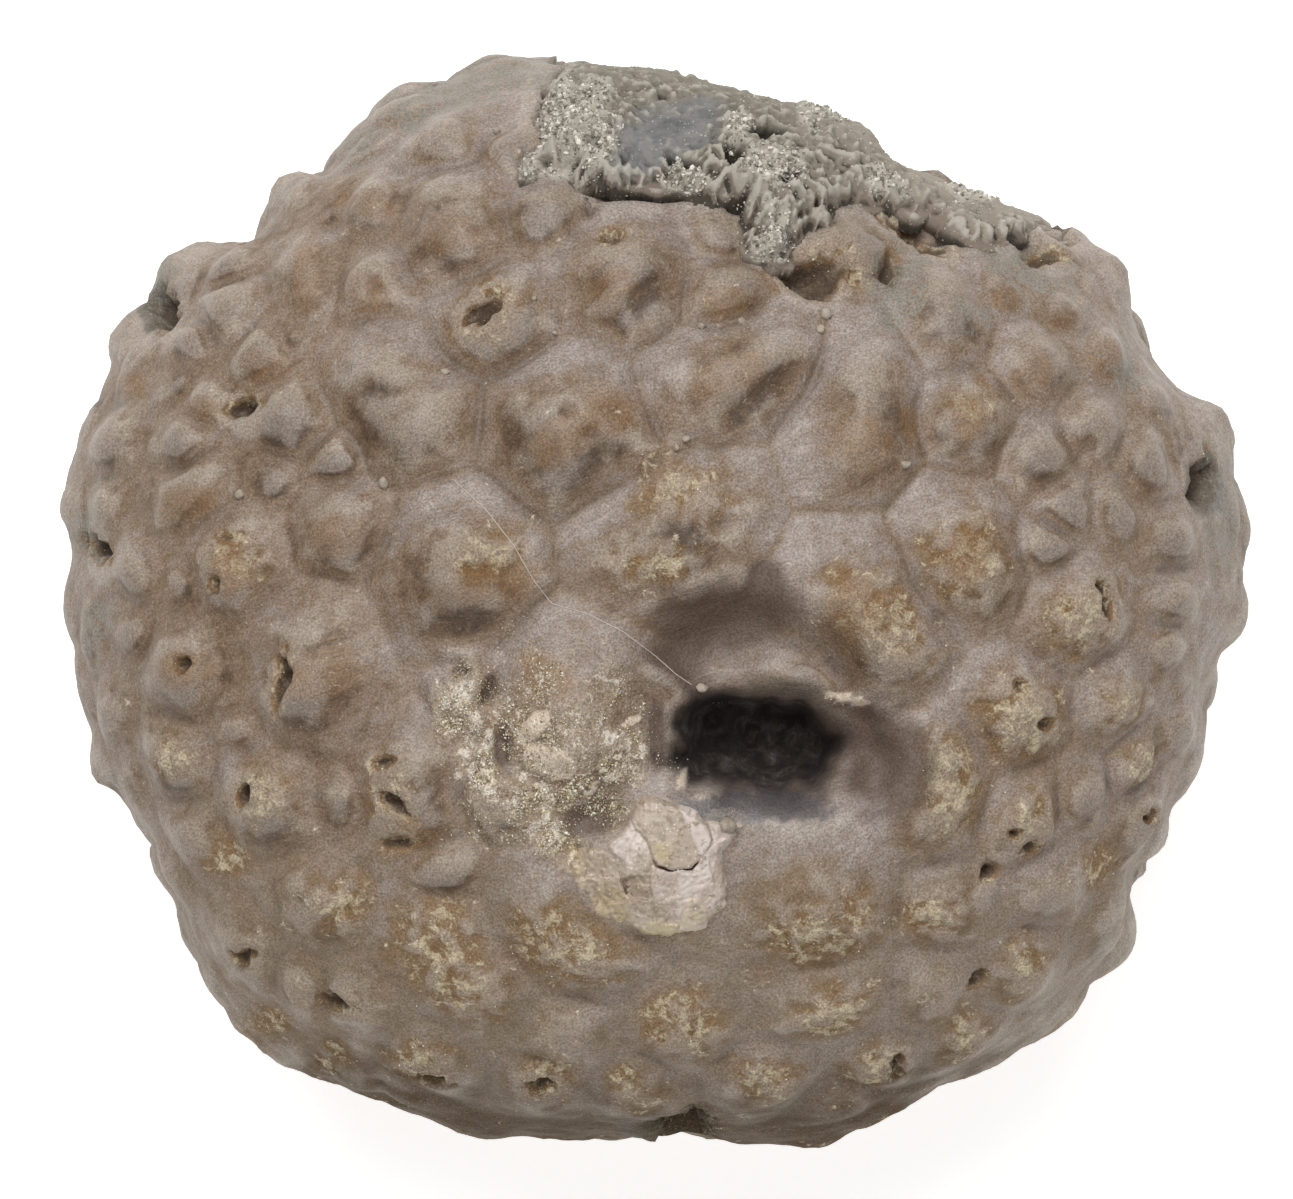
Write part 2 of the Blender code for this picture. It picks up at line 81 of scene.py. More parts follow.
# %% The outline
# The outline seen from above, in mm from the centre, anticlockwise from the right.
OUTLINE = [
    (23.8, 0.0), (23.7, 2.0), (23.8, 3.9), (23.4, 5.0), (23.3, 6.6), (22.7, 7.6), (21.9, 8.0),
    (20.5, 9.0), (19.9, 9.6), (19.4, 10.8), (19.3, 11.6), (19.0, 13.2), (18.7, 13.8), (17.9, 14.3),
    (16.3, 15.2), (15.7, 15.6), (13.9, 16.1), (11.5, 16.8), (10.1, 17.1), (9.4, 17.4), (9.1, 18.0),
    (8.8, 18.8), (8.3, 19.3), (6.7, 19.6), (3.5, 20.5), (1.1, 21.1), (-2.1, 21.5), (-5.1, 22.0),
    (-6.1, 22.0), (-6.9, 21.8), (-8.5, 21.0), (-9.7, 20.8), (-10.5, 20.5), (-11.3, 20.0),
    (-12.5, 18.2), (-12.8, 17.6), (-13.4, 17.2), (-14.5, 17.2), (-15.0, 17.0), (-15.2, 16.6),
    (-15.2, 15.8), (-15.4, 15.2), (-15.9, 14.5), (-16.5, 14.2), (-18.9, 14.2), (-19.6, 14.0),
    (-20.0, 13.6), (-20.3, 12.0), (-21.3, 11.2), (-21.9, 10.8), (-22.0, 10.2), (-21.9, 9.4),
    (-22.2, 8.0), (-23.1, 7.0), (-23.5, 6.0), (-23.8, 4.4), (-23.4, 2.4), (-23.6, 1.2),
    (-23.6, -1.2), (-23.1, -3.2), (-22.7, -5.2), (-22.8, -6.4), (-22.6, -7.0), (-21.7, -7.6),
    (-21.0, -8.8), (-20.1, -9.8), (-20.1, -11.1), (-19.2, -12.4), (-18.5, -14.6), (-17.9, -16.0),
    (-17.1, -16.7), (-15.9, -18.2), (-15.2, -18.7), (-14.1, -18.9), (-12.5, -19.7), (-10.9, -20.1),
    (-9.1, -21.0), (-7.1, -21.6), (-4.0, -21.6), (-1.3, -21.6), (1.1, -21.5), (2.5, -21.6),
    (4.7, -22.0), (6.7, -21.9), (8.5, -21.3), (10.3, -20.2), (12.7, -19.1), (15.9, -17.5),
    (16.9, -16.6), (17.5, -15.6), (18.9, -14.4), (19.2, -13.8), (19.1, -11.0), (19.4, -10.4),
    (20.5, -9.7), (20.7, -9.2), (20.9, -8.2), (21.9, -6.6), (22.3, -5.6), (22.0, -4.4),
    (22.1, -3.6), (22.9, -2.0), (23.6, -1.0),
]
print(len(OUTLINE), "points of outline")

# %% The plates
# Plates of the lid, seen from above: x, y and half width. A long plate gives both its ends.
LID_PLATES = [
    # Round the vent.
    (-1.3, 2.2, 2.1, 3.8, 2.1), (-3.7, -2.8, -3.3, -5.6, 2.6), (-0.1, -10.0, 0.0, -11.0, 2.6),
    (5.5, -11.8, 6.5, -12.2, 2.6), (7.7, 0.4, 8.9, -1.6, 2.5), (11.1, -6.4, 11.1, -8.4, 1.9),
    (5.9, -2.8, 1.2), (-7.6, -4.0, 1.3), (-6.1, -7.6, 1.5),
    # The crown and the large plates above it.
    (-7.8, 1.4, 3.3), (-3.7, 6.9, 3.3), (-6.3, 11.3, 2.5), (-1.2, 13.0, 2.7), (2.7, 12.2, 1.7),
    (2.5, 14.6, 1.2), (1.9, 8.6, 4.9, 10.0, 2.2), (8.1, 9.2, 7.9, 6.4, 2.3),
    (11.1, 12.4, 11.5, 10.8, 1.6), (12.3, 7.4, 1.85), (7.7, 14.0, 1.8), (11.9, 2.8, 12.5, 1.2, 2.1),
    # Upper left, out to the rim.
    (-11.1, 9.0, -9.3, 7.2, 2.4), (-11.3, 12.4, 1.55), (-8.1, 16.0, -7.8, 14.2, 1.9),
    (-4.3, 15.4, 1.4), (-11.1, 15.8, 1.3), (-14.2, 14.4, -13.4, 12.0, 1.1), (-12.7, 16.4, 0.7),
    (-14.3, 16.6, 0.9), (-12.8, 15.3, 0.35), (-10.1, 19.4, 1.2), (-11.5, 18.2, 0.9),
    (-8.3, 18.2, 1.6), (-5.8, 18.0, 1.1), (-8.9, 20.4, 1.0), (-6.9, 21.2, -4.7, 21.2, 0.75),
    (-17.1, 11.6, 1.5), (-15.5, 9.8, 1.2), (-14.5, 10.4, 0.6), (-16.9, 13.3, 1.1),
    (-19.2, 13.6, 1.0), (-18.4, 12.5, 0.5), (-21.5, 10.6, -20.5, 10.5, 0.7), (-20.9, 8.9, 0.95),
    (-18.3, 10.4, 1.2), (-18.9, 8.9, 0.7), (-17.9, 7.9, 0.95), (-14.5, 7.4, 1.9),
    # Left.
    (-12.7, 5.6, 1.1), (-12.3, 3.0, 1.9), (-19.1, 4.0, -17.9, 4.6, 1.3), (-21.5, 6.4, 1.4),
    (-15.3, 4.9, 0.9), (-18.7, 6.4, 1.2), (-16.7, 1.7, 2.2), (-21.9, 3.8, 1.0), (-23.2, 4.6, 0.7),
    (-20.7, 1.2, 1.1), (-18.7, 0.6, 0.8), (-23.1, 0.8, 0.9), (-22.5, -1.6, 0.9), (-20.9, -1.2, 0.9),
    (-18.7, -2.6, 1.8), (-17.1, -1.6, -17.0, -4.0, 0.6), (-13.6, -1.8, -13.6, -3.2, 2.5),
    (-19.1, -6.3, 1.5), (-21.7, -4.4, 1.1), (-21.9, -6.6, 0.8), (-15.4, -7.8, 2.0),
    (-20.9, -7.6, 0.8), (-16.7, -5.1, 0.8), (-9.7, -6.0, -9.8, -8.4, 2.0), (-12.5, -8.0, 0.9),
    # Lower left and the lower rim.
    (-18.5, -9.2, 1.2), (-19.5, -10.6, 0.9), (-13.7, -11.8, 1.8), (-8.5, -10.6, 1.3),
    (-8.9, -13.2, -6.9, -15.4, 1.9), (-4.3, -12.0, -2.9, -13.8, 2.2), (-16.3, -14.0, 1.6),
    (-14.1, -15.4, 1.2), (-17.5, -15.0, 1.0), (-12.1, -16.0, 1.4), (-12.1, -19.0, 1.1),
    (-15.5, -17.4, 1.1), (-10.1, -19.8, 1.0), (-8.7, -18.4, 1.4), (-4.7, -19.4, 1.4),
    (-3.7, -17.2, 1.6), (-0.5, -19.6, 1.5), (1.1, -17.0, 1.7), (4.3, -19.2, 1.6),
    (5.5, -16.0, 7.9, -15.8, 1.5), (7.5, -20.0, 1.3), (9.1, -18.6, 1.4),
    # Lower right.
    (11.5, -12.2, 1.5), (11.1, -15.6, 1.5), (15.8, -11.5, 1.4), (14.7, -14.8, 1.5),
    (12.3, -17.6, 1.4), (17.9, -13.0, 1.2), (16.3, -16.8, 1.0), (14.7, -8.6, 1.6),
    (19.3, -8.6, 1.4), (17.1, -7.6, 1.2),
    # Right.
    (14.2, -4.2, 2.1), (16.8, -0.4, 2.1), (18.3, -4.0, 1.5), (19.1, -6.4, 1.2), (20.7, 0.0, 1.3),
    (20.3, -1.8, 1.1), (20.9, -5.0, 1.1), (21.1, -3.4, 0.8), (20.5, 2.4, 1.3), (22.9, 0.8, 1.0),
    (22.5, 6.6, 1.1), (22.7, 3.2, 0.9), (20.9, 6.0, 21.5, 7.0, 0.6), (19.5, 5.6, 1.4),
    # Upper right, out to the rim.
    (17.5, 7.0, 1.3), (15.1, 5.8, 1.3), (16.3, 3.8, 1.2), (18.3, 3.6, 1.1), (15.5, 2.2, 1.1),
    (14.9, 9.4, 1.5), (17.9, 10.0, 1.2), (13.9, 12.4, 0.9), (16.3, 11.6, 0.9), (17.9, 13.0, 1.0),
    (19.9, 8.0, 1.0), (16.3, 13.6, 0.9),
]

# Rings of plates round the cup: degrees below the widest line, how many, half width.
CUP_RINGS = [(-1, 40, 1.5), (9, 38, 1.6), (19, 28, 2.2), (30, 19, 2.6), (43, 12, 3.2), (60, 6, 3.6),
             (77, 3, 2.3)]
CUP_SEED = 31
CUP_JITTER = 0.16  # of the spacing
print(len(LID_PLATES), "plates on the lid,", sum(ring[1] for ring in CUP_RINGS), "on the cup")

# %% Pits, vent and sockets
# Pits of the lid: x, y, half length, half width, direction in degrees, depth.
LID_PITS = [
    (-6.6, 11.4, 1.1, 0.5, 38, 0.9), (-16.4, 7.7, 0.8, 0.35, 15, 0.9),
    (-14.5, -3.2, 1.2, 0.4, 75, 0.9), (-18.5, -2.5, 0.4, 0.35, 0, 0.7),
    (17.7, -0.1, 0.8, 0.25, -75, 0.9), (-19.5, 11.6, 0.8, 0.4, 80, 1.3),
    (21.8, 4.8, 0.9, 0.45, 85, 1.6), (-22.2, 2.1, 0.6, 0.35, -50, 0.8),
    (-16.1, -7.6, 0.5, 0.35, 60, 0.8), (-10.7, -6.4, 0.6, 0.3, 10, 0.6),
    (-10.1, -8.0, 0.9, 0.3, -40, 0.7), (-10.1, -9.6, 0.6, 0.3, 0, 0.6),
    (-16.2, -14.0, 0.45, 0.4, 0, 0.6), (-4.5, -19.2, 0.6, 0.3, 0, 0.6),
    (-8.7, -19.0, 0.7, 0.35, 0, 0.8), (12.9, -15.1, 0.5, 0.25, 45, 0.7),
    (14.9, -9.7, 0.45, 0.35, 20, 0.7), (14.2, -9.2, 0.3, 0.25, 90, 0.6),
    (13.3, -10.8, 0.4, 0.3, 30, 0.6), (19.5, -8.5, 0.4, 0.25, 0, 0.6),
    (9.6, -18.4, 0.6, 0.25, 80, 0.7), (1.1, -21.0, 1.2, 0.6, 0, 1.0),
    (-1.7, 14.3, 0.45, 0.4, 0, 0.35), (-16.7, 2.4, 0.6, 0.35, 0, 0.35),
    (-17.2, 0.7, 0.4, 0.3, 0, 0.5), (15.2, -4.8, 0.4, 0.35, 0, 0.5),
    (14.3, -3.3, 0.3, 0.3, 0, 0.4), (15.5, 13.8, 0.8, 0.35, 0, 0.7),
    (-6.7, -3.6, 0.7, 0.3, 70, 0.7), (-7.7, -2.8, 0.35, 0.3, 0, 0.5),
    (-12.5, -16.0, 0.8, 0.4, 0, 0.6), (10.5, 14.7, 1.6, 0.5, -25, 1.1),
    (9.3, 13.2, 0.7, 0.4, 90, 0.8), (6.3, 13.0, 1.6, 0.8, 0, 0.8),
]

# The wide funnel of smooth stone that leads down to the vent: where it is from above, its half
# length, half width, slant and depth.
VENT_FUNNEL = (3.6, -3.9, 6.0, 4.7, -8, 2.3)

# Arm sockets below the rim: the middle of each of the five rays, and the sockets beside it.
RAYS = [51, 123, 195, 267, 339]
SOCKET_TURNS = [-17, -6, 6, 17]
SOCKET = (0.62, 0.9)  # radius and depth
SOCKET_AIM = (0.992, -3.0 / 23)  # across and up: about 3 mm under the widest line
print(len(LID_PITS), "pits")

# %% The rock's edge
# The rock: its edge on the unrolled plan, where the side of the cup continues outward.
ROCK_EDGE = [
    (16.6, 14.4), (14.7, 14.5), (13.3, 14.0), (12.1, 14.5), (11.1, 15.3), (9.5, 15.7), (8.3, 15.8),
    (6.9, 14.9), (5.9, 14.0), (4.8, 12.7), (3.9, 13.6), (3.3, 15.4), (1.9, 16.0), (-0.5, 16.4),
    (-2.5, 16.2), (-3.7, 16.9), (-5.5, 16.5), (-5.2, 17.6), (-4.6, 18.4), (-4.7, 20.0), (-3.8, 22.2),
    (-3.2, 24.4), (1.0, 25.4), (6.0, 24.4), (10.5, 22.0), (14.5, 19.6), (18.2, 17.6), (18.3, 15.6),
]
print(len(ROCK_EDGE), "points of the rock's edge")

# %% [markdown]
# ## A net that is finest where the eye looks
# A lump with no straight line in it wants points spread evenly over its skin. A globe of rings and
# meridians bunches them at the poles, and an icosphere only comes in fixed sizes.
# A cube whose faces are cut into a grid and then blown up to a ball has neither fault, and its
# four-sided faces shade smoothly. Then we slide the points upward, so that the lid, which carries
# all the fine detail, gets over twice as many to the square millimetre as the cup.

# %% The net of directions
NET_CUTS = 127  # 6 x 128 x 128 squares, just under 200,000 triangles
LID_SHARE = 2.4  # points per square millimetre on the lid, for each one on the cup
LID_FROM = (-3.0, 0.8)  # mm over the widest line where that begins, and how gently
MEAN_RADIUS = 22.3  # mm


def arrays_of(net):
    """The points and faces of a bmesh as arrays. The bmesh is freed."""
    points = np.array([corner.co for corner in net.verts])
    faces = np.array([[corner.index for corner in face.verts] for face in net.faces])
    net.free()
    return points, faces


def ball_net(cuts):
    """Unit directions all round and the four-sided faces between them."""
    net = bmesh.new()
    bmesh.ops.create_cube(net, size=2.0)
    bmesh.ops.subdivide_edges(net, edges=net.edges[:], cuts=cuts, use_grid_fill=True)
    grid, faces = arrays_of(net)
    even = np.tan(grid * math.pi / 4)
    return even / np.linalg.norm(even, axis=1)[:, None], faces


def square_faces(rows, columns):
    """The four-sided faces between the points of a net of rows and columns."""
    number = np.arange(rows * columns).reshape(rows, columns)
    corners = (number[:-1, :-1], number[:-1, 1:], number[1:, 1:], number[1:, :-1])
    return np.stack(corners, axis=-1).reshape(-1, 4)


print("a face has", NET_CUTS + 1, "squares along each side")


# %% Crowd the points on the lid
def reach_of(across, up, radius):
    """How far from the middle the smooth body ends in a direction: one superellipse for each half."""
    height = np.where(up > 0, LID_HEIGHT, CUP_DEPTH)
    power = np.where(up > 0, LID_FULLNESS, CUP_FULLNESS)
    return ((across / radius) ** power + (np.abs(up) / height) ** power) ** (-1 / power)


def crowd_upward(directions):
    """Slides the directions along their meridians so that each bit of lid gets its share."""
    fall = np.linspace(0, math.pi, 2000)
    reach = reach_of(np.sin(fall), np.cos(fall), MEAN_RADIUS)
    across, rise = reach * np.sin(fall), reach * np.cos(fall)
    strip = np.hypot(np.gradient(across), np.gradient(rise)) * across
    strip *= 1 + (LID_SHARE - 1) / (1 + np.exp(-(rise - LID_FROM[0]) / LID_FROM[1]))
    used = np.cumsum(strip) / strip.sum()
    new_fall = np.interp((1 - directions[:, 2]) / 2, used, fall)
    turn = np.arctan2(directions[:, 1], directions[:, 0])
    flat = np.sin(new_fall)
    return np.stack([flat * np.cos(turn), flat * np.sin(turn), np.cos(new_fall)], axis=1)


directions, net_faces = ball_net(NET_CUTS)
directions = crowd_upward(directions)
print("net:", len(directions), "points,", len(net_faces) * 2, "triangles")

# %% [markdown]
# ## The lump without its plates
# Seen from above the calyx is a knobbly round, and from the side it is a low dome over a deeper bowl.
# A superellipse gives both curves with one number each for how full they are. The outline is
# smoothed for the body, and its knobs come back only near the widest line, where they belong.

# %% The smooth body
SMOOTHED_OVER = 12  # degrees
KNOBS_REACH = 3.2  # mm over and under the widest line


def outline_radii():
    """Radius of the outline at each half degree: as measured, and smoothed."""
    edge = np.array(OUTLINE)
    turn = np.degrees(np.arctan2(edge[:, 1], edge[:, 0]))
    order = np.argsort(turn)
    grid = np.arange(-180, 180, 0.5)
    measured = np.interp(grid, turn[order], np.hypot(*edge.T)[order], period=360)
    measured -= PLATE_RELIEF
    reach = np.arange(-80, 81)
    weight = np.exp(-((reach * 0.5 / SMOOTHED_OVER) ** 2) / 2)
    smooth = sum(np.roll(measured, step) * share for step, share in zip(reach, weight))
    return grid, measured, smooth / weight.sum()


TURNS, RIM, SMOOTH_RIM = outline_radii()


def rim_at(x, y, radii):
    """The radius in the direction of x, y."""
    return np.interp(np.degrees(np.arctan2(y, x)), TURNS, radii, period=360)


def smooth_body(directions):
    """The body under the plates, widest at height 0."""
    radius = rim_at(directions[:, 0], directions[:, 1], SMOOTH_RIM)
    reach = reach_of(np.hypot(directions[:, 0], directions[:, 1]), directions[:, 2], radius)
    points = directions * reach[:, None]
    swell = rim_at(points[:, 0], points[:, 1], RIM - SMOOTH_RIM)
    swell *= np.exp(-((points[:, 2] / KNOBS_REACH) ** 2))
    points[:, :2] *= (1 + swell / radius)[:, None]
    return points


def outward(points, faces):
    """Unit normal at each point of a net of four-sided faces."""
    corners = points[faces]
    crossed = np.cross(corners[:, 2] - corners[:, 0], corners[:, 3] - corners[:, 1])
    normals = np.zeros_like(points)
    for corner in range(4):
        np.add.at(normals, faces[:, corner], crossed)
    return normals / np.maximum(np.linalg.norm(normals, axis=1), 1e-12)[:, None]


body = smooth_body(directions)
body_out = outward(body, net_faces)
print("smooth body, mm:", np.ptp(body, axis=0))

# %% [markdown]
# ## Helpers for shapes that fade
# Nothing on weathered stone has a hard border, so each spot is an ellipse with a soft, ragged edge.
# The raggedness comes from Perlin noise, the usual stand-in for anything nature made unevenly.
# Its scale is always given as the real distance between two crests.

# %% Soft spots and noise
LAYER_APART = 19.7  # shifts each layer of noise away from the others
NOISE_GAIN = 1.6  # brings the noise to between about -1 and 1


def waves(points, size, layer=0):
    """Perlin noise with crests about `size` mm apart."""
    shifted = points / size + layer * LAYER_APART
    return np.array([noise.noise(place) for place in shifted.tolist()]) * NOISE_GAIN


def fade(share, full, none):
    """1 up to full, 0 from none on, with a soft step between."""
    step = np.clip((none - share) / (none - full), 0, 1)
    return step * step * (3 - 2 * step)


def ellipse_share(x, y, middle_x, middle_y, half_length, half_width, turn=0, power=2.0):
    """0 at the middle of a slanted ellipse, 1 on its edge. A higher power squares its ends."""
    angle = math.radians(turn)
    along = (x - middle_x) * math.cos(angle) + (y - middle_y) * math.sin(angle)
    aside = (y - middle_y) * math.cos(angle) - (x - middle_x) * math.sin(angle)
    shares = np.abs(along / half_length) ** power + np.abs(aside / half_width) ** power
    return shares ** (1 / power)


def spots(points, places, ragged, full, none):
    """How far each point of the lid lies in any of the spots, 0 to 1."""
    found = np.zeros(len(points))
    for place in places:
        share = ellipse_share(points[:, 0], points[:, 1], *place) + ragged
        found = np.maximum(found, fade(share, full, none))
    return found * (points[:, 2] > 0)


ripple = waves(body, 1.1)
grit = waves(body, 0.52, 1)
print("ripple:", ripple.min(), ripple.max())

# %% [markdown]
# ## The plates
# Every plate is a cushion that swells from its suture, the line where it meets its neighbours.
# The sutures are where two plates are equally far away, which is how they grew: each plate spread
# until it met the next. So we need no drawn borders, only each plate's middle and half width.
# The cup's plates are hidden from above. They follow the rule of such cups: rings of plates that
# get larger and fewer towards the stem, each ring a little uneven.

# %% Where the plates are
def on_lid(x, y):
    """The point of the lid that is seen at x, y."""
    share = min(math.hypot(x, y) / float(rim_at(x, y, SMOOTH_RIM)), 0.999)
    return np.array([x, y, LID_HEIGHT * (1 - share**LID_FULLNESS) ** (1 / LID_FULLNESS)])


def plates():
    """Every plate as two ends and a half width: the lid's as listed, the cup's in rings."""
    found = []
    for plate in LID_PLATES:
        ends = plate[:-1] if len(plate) == 5 else plate[:-1] * 2
        found.append((on_lid(ends[0], ends[1]), on_lid(ends[2], ends[3]), plate[-1]))
    chance = np.random.default_rng(CUP_SEED)
    for below, count, half_width in CUP_RINGS:
        turn = (np.arange(count) + chance.uniform(0, 1)) * math.tau / count
        turn += chance.uniform(-CUP_JITTER, CUP_JITTER, count) * math.tau / count
        tilt = np.radians(-below + chance.uniform(-2, 2, count))
        flat = np.cos(tilt)
        spread = np.stack([flat * np.cos(turn), flat * np.sin(turn), np.sin(tilt)], axis=1)
        for point in smooth_body(spread):
            found.append((point, point, half_width * chance.uniform(0.88, 1.12)))
    return found


def distance_to(points, start, end):
    """Distance of each point from a straight run between two ends, or from one end if they are the same."""
    run = end - start
    length = float(run @ run)
    along = np.clip((points - start) @ run / length, 0, 1) if length else np.zeros(len(points))
    return np.linalg.norm(points - start - along[:, None] * run, axis=1)


def plate_map(points):
    """For each point: mm to the nearest suture, its share of the way in, and which plate it is on."""
    first = np.full(len(points), 1e6)
    second = np.full(len(points), 1e6)
    owner = np.zeros(len(points), int)
    for number, (start, end, half_width) in enumerate(PLATES):
        gap = distance_to(points, start, end) - half_width
        closer = gap < first
        second = np.where(closer, first, np.minimum(second, gap))
        first = np.where(closer, gap, first)
        owner[closer] = number
    suture = (second - first) / 2
    share = np.clip(suture / np.maximum(suture + first + WIDTHS[owner], 0.05), 0, 1)
    return suture, share, owner


PLATES = plates()
WIDTHS = np.array([plate[2] for plate in PLATES])
MIDDLES = np.array([(plate[0] + plate[1]) / 2 for plate in PLATES])
wander = np.stack([waves(body, 2.4, layer) for layer in (2, 3, 4)], axis=1) * 0.13
suture, share, owner = plate_map(body + wander)
print(len(PLATES), "plates; widest suture distance, mm:", suture.max())

# %% [markdown]
# ### From map to relief
# A plate here is a soft pillow of stone. Its waxy apron slopes down to the suture, and its middle
# is worn rough, often with a dimple where it has rotted out. The suture is a soft groove. Towards
# the rim the aprons run together and the small plates stand up as round knobs. Each plate gets its
# own boss from a seeded draw, so no two neighbours match.

# %% How the plates stand up
PLATE_SEED = 7
BOSS_RANGE = (-0.2, 1.0)  # share of a full boss
DIMPLED = (0.35, 0.06)  # share of the plates that have a dimple, and its depth in mm
CREASED = (1.0, 5.0, 13.5, 8.5)  # where the aprons meet closely: x, y, half length, half width
RISE = (0.12, 0.46)  # mm that every plate stands up, and mm more for each mm of half width
BOSS_SHARE = 0.25  # of that, for the boss in its middle
KNOB_WIDTHS = (1.6, 2.9)  # mm half width: up to the first a round knob, from the second a cushion
FLAT_WIDTHS = (0.6, 1.3)  # the smallest plates are nearly flat
SAG = 0.3  # each plate bulges this much more on its lower side, where it falls off steeply
SAG_WIDTHS = (0.8, 2.2)  # only the wider plates sag
FOLD_HEIGHT = 0.16  # mm, the slow folds of old stone across a plate
FOLD_RUN = np.array([[0.36, -0.42, 0.0], [0.17, 0.91, 0.0], [0.0, 0.0, 1.0]])  # draws the folds out
GROOVE = (0.05, 0.3)  # mm deep, and mm from its middle to its flank: the soft groove of a suture
LOW_CALM = 0.25  # the plates of the lower edge are this much flatter, worn by handling
RIM_CALM = 0.6  # how far the plates flatten at the widest line, where the outline has their knobs
print("the widest plate stands up, mm:", RISE[0] + RISE[1] * WIDTHS.max())

# %% Raise the plates
chance = np.random.default_rng(PLATE_SEED)
boss_height = chance.uniform(*BOSS_RANGE, len(PLATES))
dimple_depth = np.where(chance.uniform(size=len(PLATES)) < DIMPLED[0], DIMPLED[1], 0.0)
width = WIDTHS[owner]
offset = (body - MIDDLES[owner]) / width[:, None]
folded = body @ FOLD_RUN
folds = 0.6 - np.abs(waves(folded, 2.6, 8)) - 0.5 * np.abs(waves(folded, 1.2, 9))
in_creased = ellipse_share(body[:, 0], body[:, 1], *CREASED) + 0.3 * waves(body, 4.0, 14)
creased = fade(in_creased, 0.6, 1.3) * (body[:, 2] > 0)
knob = share * share * (3 - 2 * share)
cushion = knob + (0.3 + 0.5 * creased) * (1 - (1 - share) ** 2 - knob)
rounded = fade(np.linalg.norm(offset, axis=1), 0.1, 2.6) * (1 - (1 - share) ** 2)
small = fade(width, *KNOB_WIDTHS)
cushion += small * (rounded - cushion)
sagged = np.clip(SAG * (offset[:, 0] * 0.45 - offset[:, 1]), -0.4, 0.4) * (body[:, 2] > -2)
sagged *= fade(-width, -SAG_WIDTHS[1], -SAG_WIDTHS[0])
boss = fade(-(share + 0.08 * ripple), -1.0, -0.4) * (1 - 0.8 * small)
relief = 0.9 * cushion + BOSS_SHARE * boss * boss_height[owner]
relief *= (RISE[0] + RISE[1] * width) * (1 + sagged)
relief *= 0.3 + 0.7 * fade(-width, -FLAT_WIDTHS[1], -FLAT_WIDTHS[0])
relief += FOLD_HEIGHT * folds * fade(-share, -0.45, 0.0)
relief *= 1 - LOW_CALM * fade(body[:, 1] + waves(body, 3.5, 13), -13.0, -6.0)
relief -= 0.1 + dimple_depth[owner] * fade(-share, -0.98, -0.76)
patchy = 0.4 + 0.6 * fade(waves(body, 2.1, 10), -0.6, 0.5)
relief -= GROOVE[0] * np.exp(-((suture / GROOVE[1]) ** 2)) * patchy
relief += RIM_CALM * np.exp(-((body[:, 2] / KNOBS_REACH) ** 2)) * (PLATE_RELIEF - relief)
print("relief, mm:", relief.min(), relief.max())

# %% [markdown]
# ## What time did to the lid
# The lid's surface is not the same everywhere. On many plates the skin has gone and the bare calcite
# grains show. Beside the vent there is a cream crust, and one plate is snapped off and shows its
# white inside. Each kind of place is a list of ellipses: x, y, half length, half width, slant.

# %% Places on the lid
BARE_GRAINS = [
    (1.1, 4.4, 2.2, 1.5), (-0.1, 1.6, 1.7, 1.0), (12.2, 2.0, 1.7, 2.3), (8.7, -0.7, 2.7, 1.9, -50),
    (14.3, -4.6, 1.7, 2.0), (11.5, -7.2, 1.5, 2.9), (6.6, -13.0, 2.6, 1.7, 10),
    (-3.7, -13.6, 3.0, 1.8), (-8.5, -13.8, 2.2, 2.2), (16.5, -0.6, 1.6, 1.8), (-6.4, 1.9, 2.0, 1.3),
    (-6.4, 11.3, 1.4, 1.4), (6.9, -16.3, 2.2, 1.0, 20), (1.1, -16.6, 1.8, 1.4), (-9.8, -9.2, 1.2, 1.2),
    (11.0, -12.4, 1.3, 1.2), (-16.6, 1.6, 1.3, 1.3), (12.4, 7.6, 1.3, 1.3), (14.7, -8.6, 1.2, 1.2),
    (-7.6, -15.2, 2.2, 1.5, -25), (-9.4, -18.3, 1.3, 0.9), (-4.1, -18.7, 1.3, 0.8), (-1.2, -19.1, 1.0, 0.7),
    (4.3, -18.7, 1.5, 0.8), (8.7, -18.6, 1.3, 0.9, 30), (12.2, -17.0, 1.1, 0.9, 40),
    (-12.4, -11.9, 1.4, 1.2), (-12.9, -18.2, 0.8, 0.6), (-15.4, -16.8, 0.9, 0.6),
    (14.5, -14.2, 1.1, 1.0), (17.6, -10.6, 0.9, 1.0), (-17.0, -10.2, 0.9, 1.1),
    (-19.0, -6.2, 0.7, 0.9), (19.2, -6.4, 0.9, 0.9), (18.3, -4.0, 1.0, 1.1),
    (-10.4, -7.6, 1.3, 1.4), (-15.4, -7.8, 1.3, 1.2),
]
CREAM_CRUST = [
    (-4.2, -7.8, 2.9, 1.1, -10), (-7.7, -4.0, 1.1, 2.0), (-1.5, -5.6, 1.3, 1.3, 40),
    (-6.9, -6.2, 1.1, 1.5), (-2.4, -7.0, 1.9, 0.8, 30), (-4.2, -9.1, 1.5, 0.9, -30),
]
THIN_CRUST = [(-4.1, -5.3, 4.2, 3.7), (-3.2, -9.8, 2.0, 1.0, -40), (-5.2, -7.9, 3.2, 2.0)]
PINK_CALCITE_AND_HIGHLIGHT = [
    (-4.7, -4.9, 1.0, 0.45, 45), (-4.1, -6.3, 1.2, 0.8, -10), (-0.9, -4.7, 0.5, 0.25, 20),
    # The thin spot at 7.5, -3.85 lies on the ridge over the vent and is a painted highlight.
    (7.5, -3.85, 1.0, 0.25, -12), (1.15, -7.0, 0.45, 0.2, 75), (2.9, -8.6, 0.9, 0.4, -10),
]
GOLD_GRAINS = [
    (-4.3, -8.0, 3.0, 1.3, -10), (-1.9, -6.5, 1.6, 0.9, 40), (-6.6, -6.6, 0.9, 1.3),
    (-3.4, -9.6, 1.2, 0.7, -40),
]
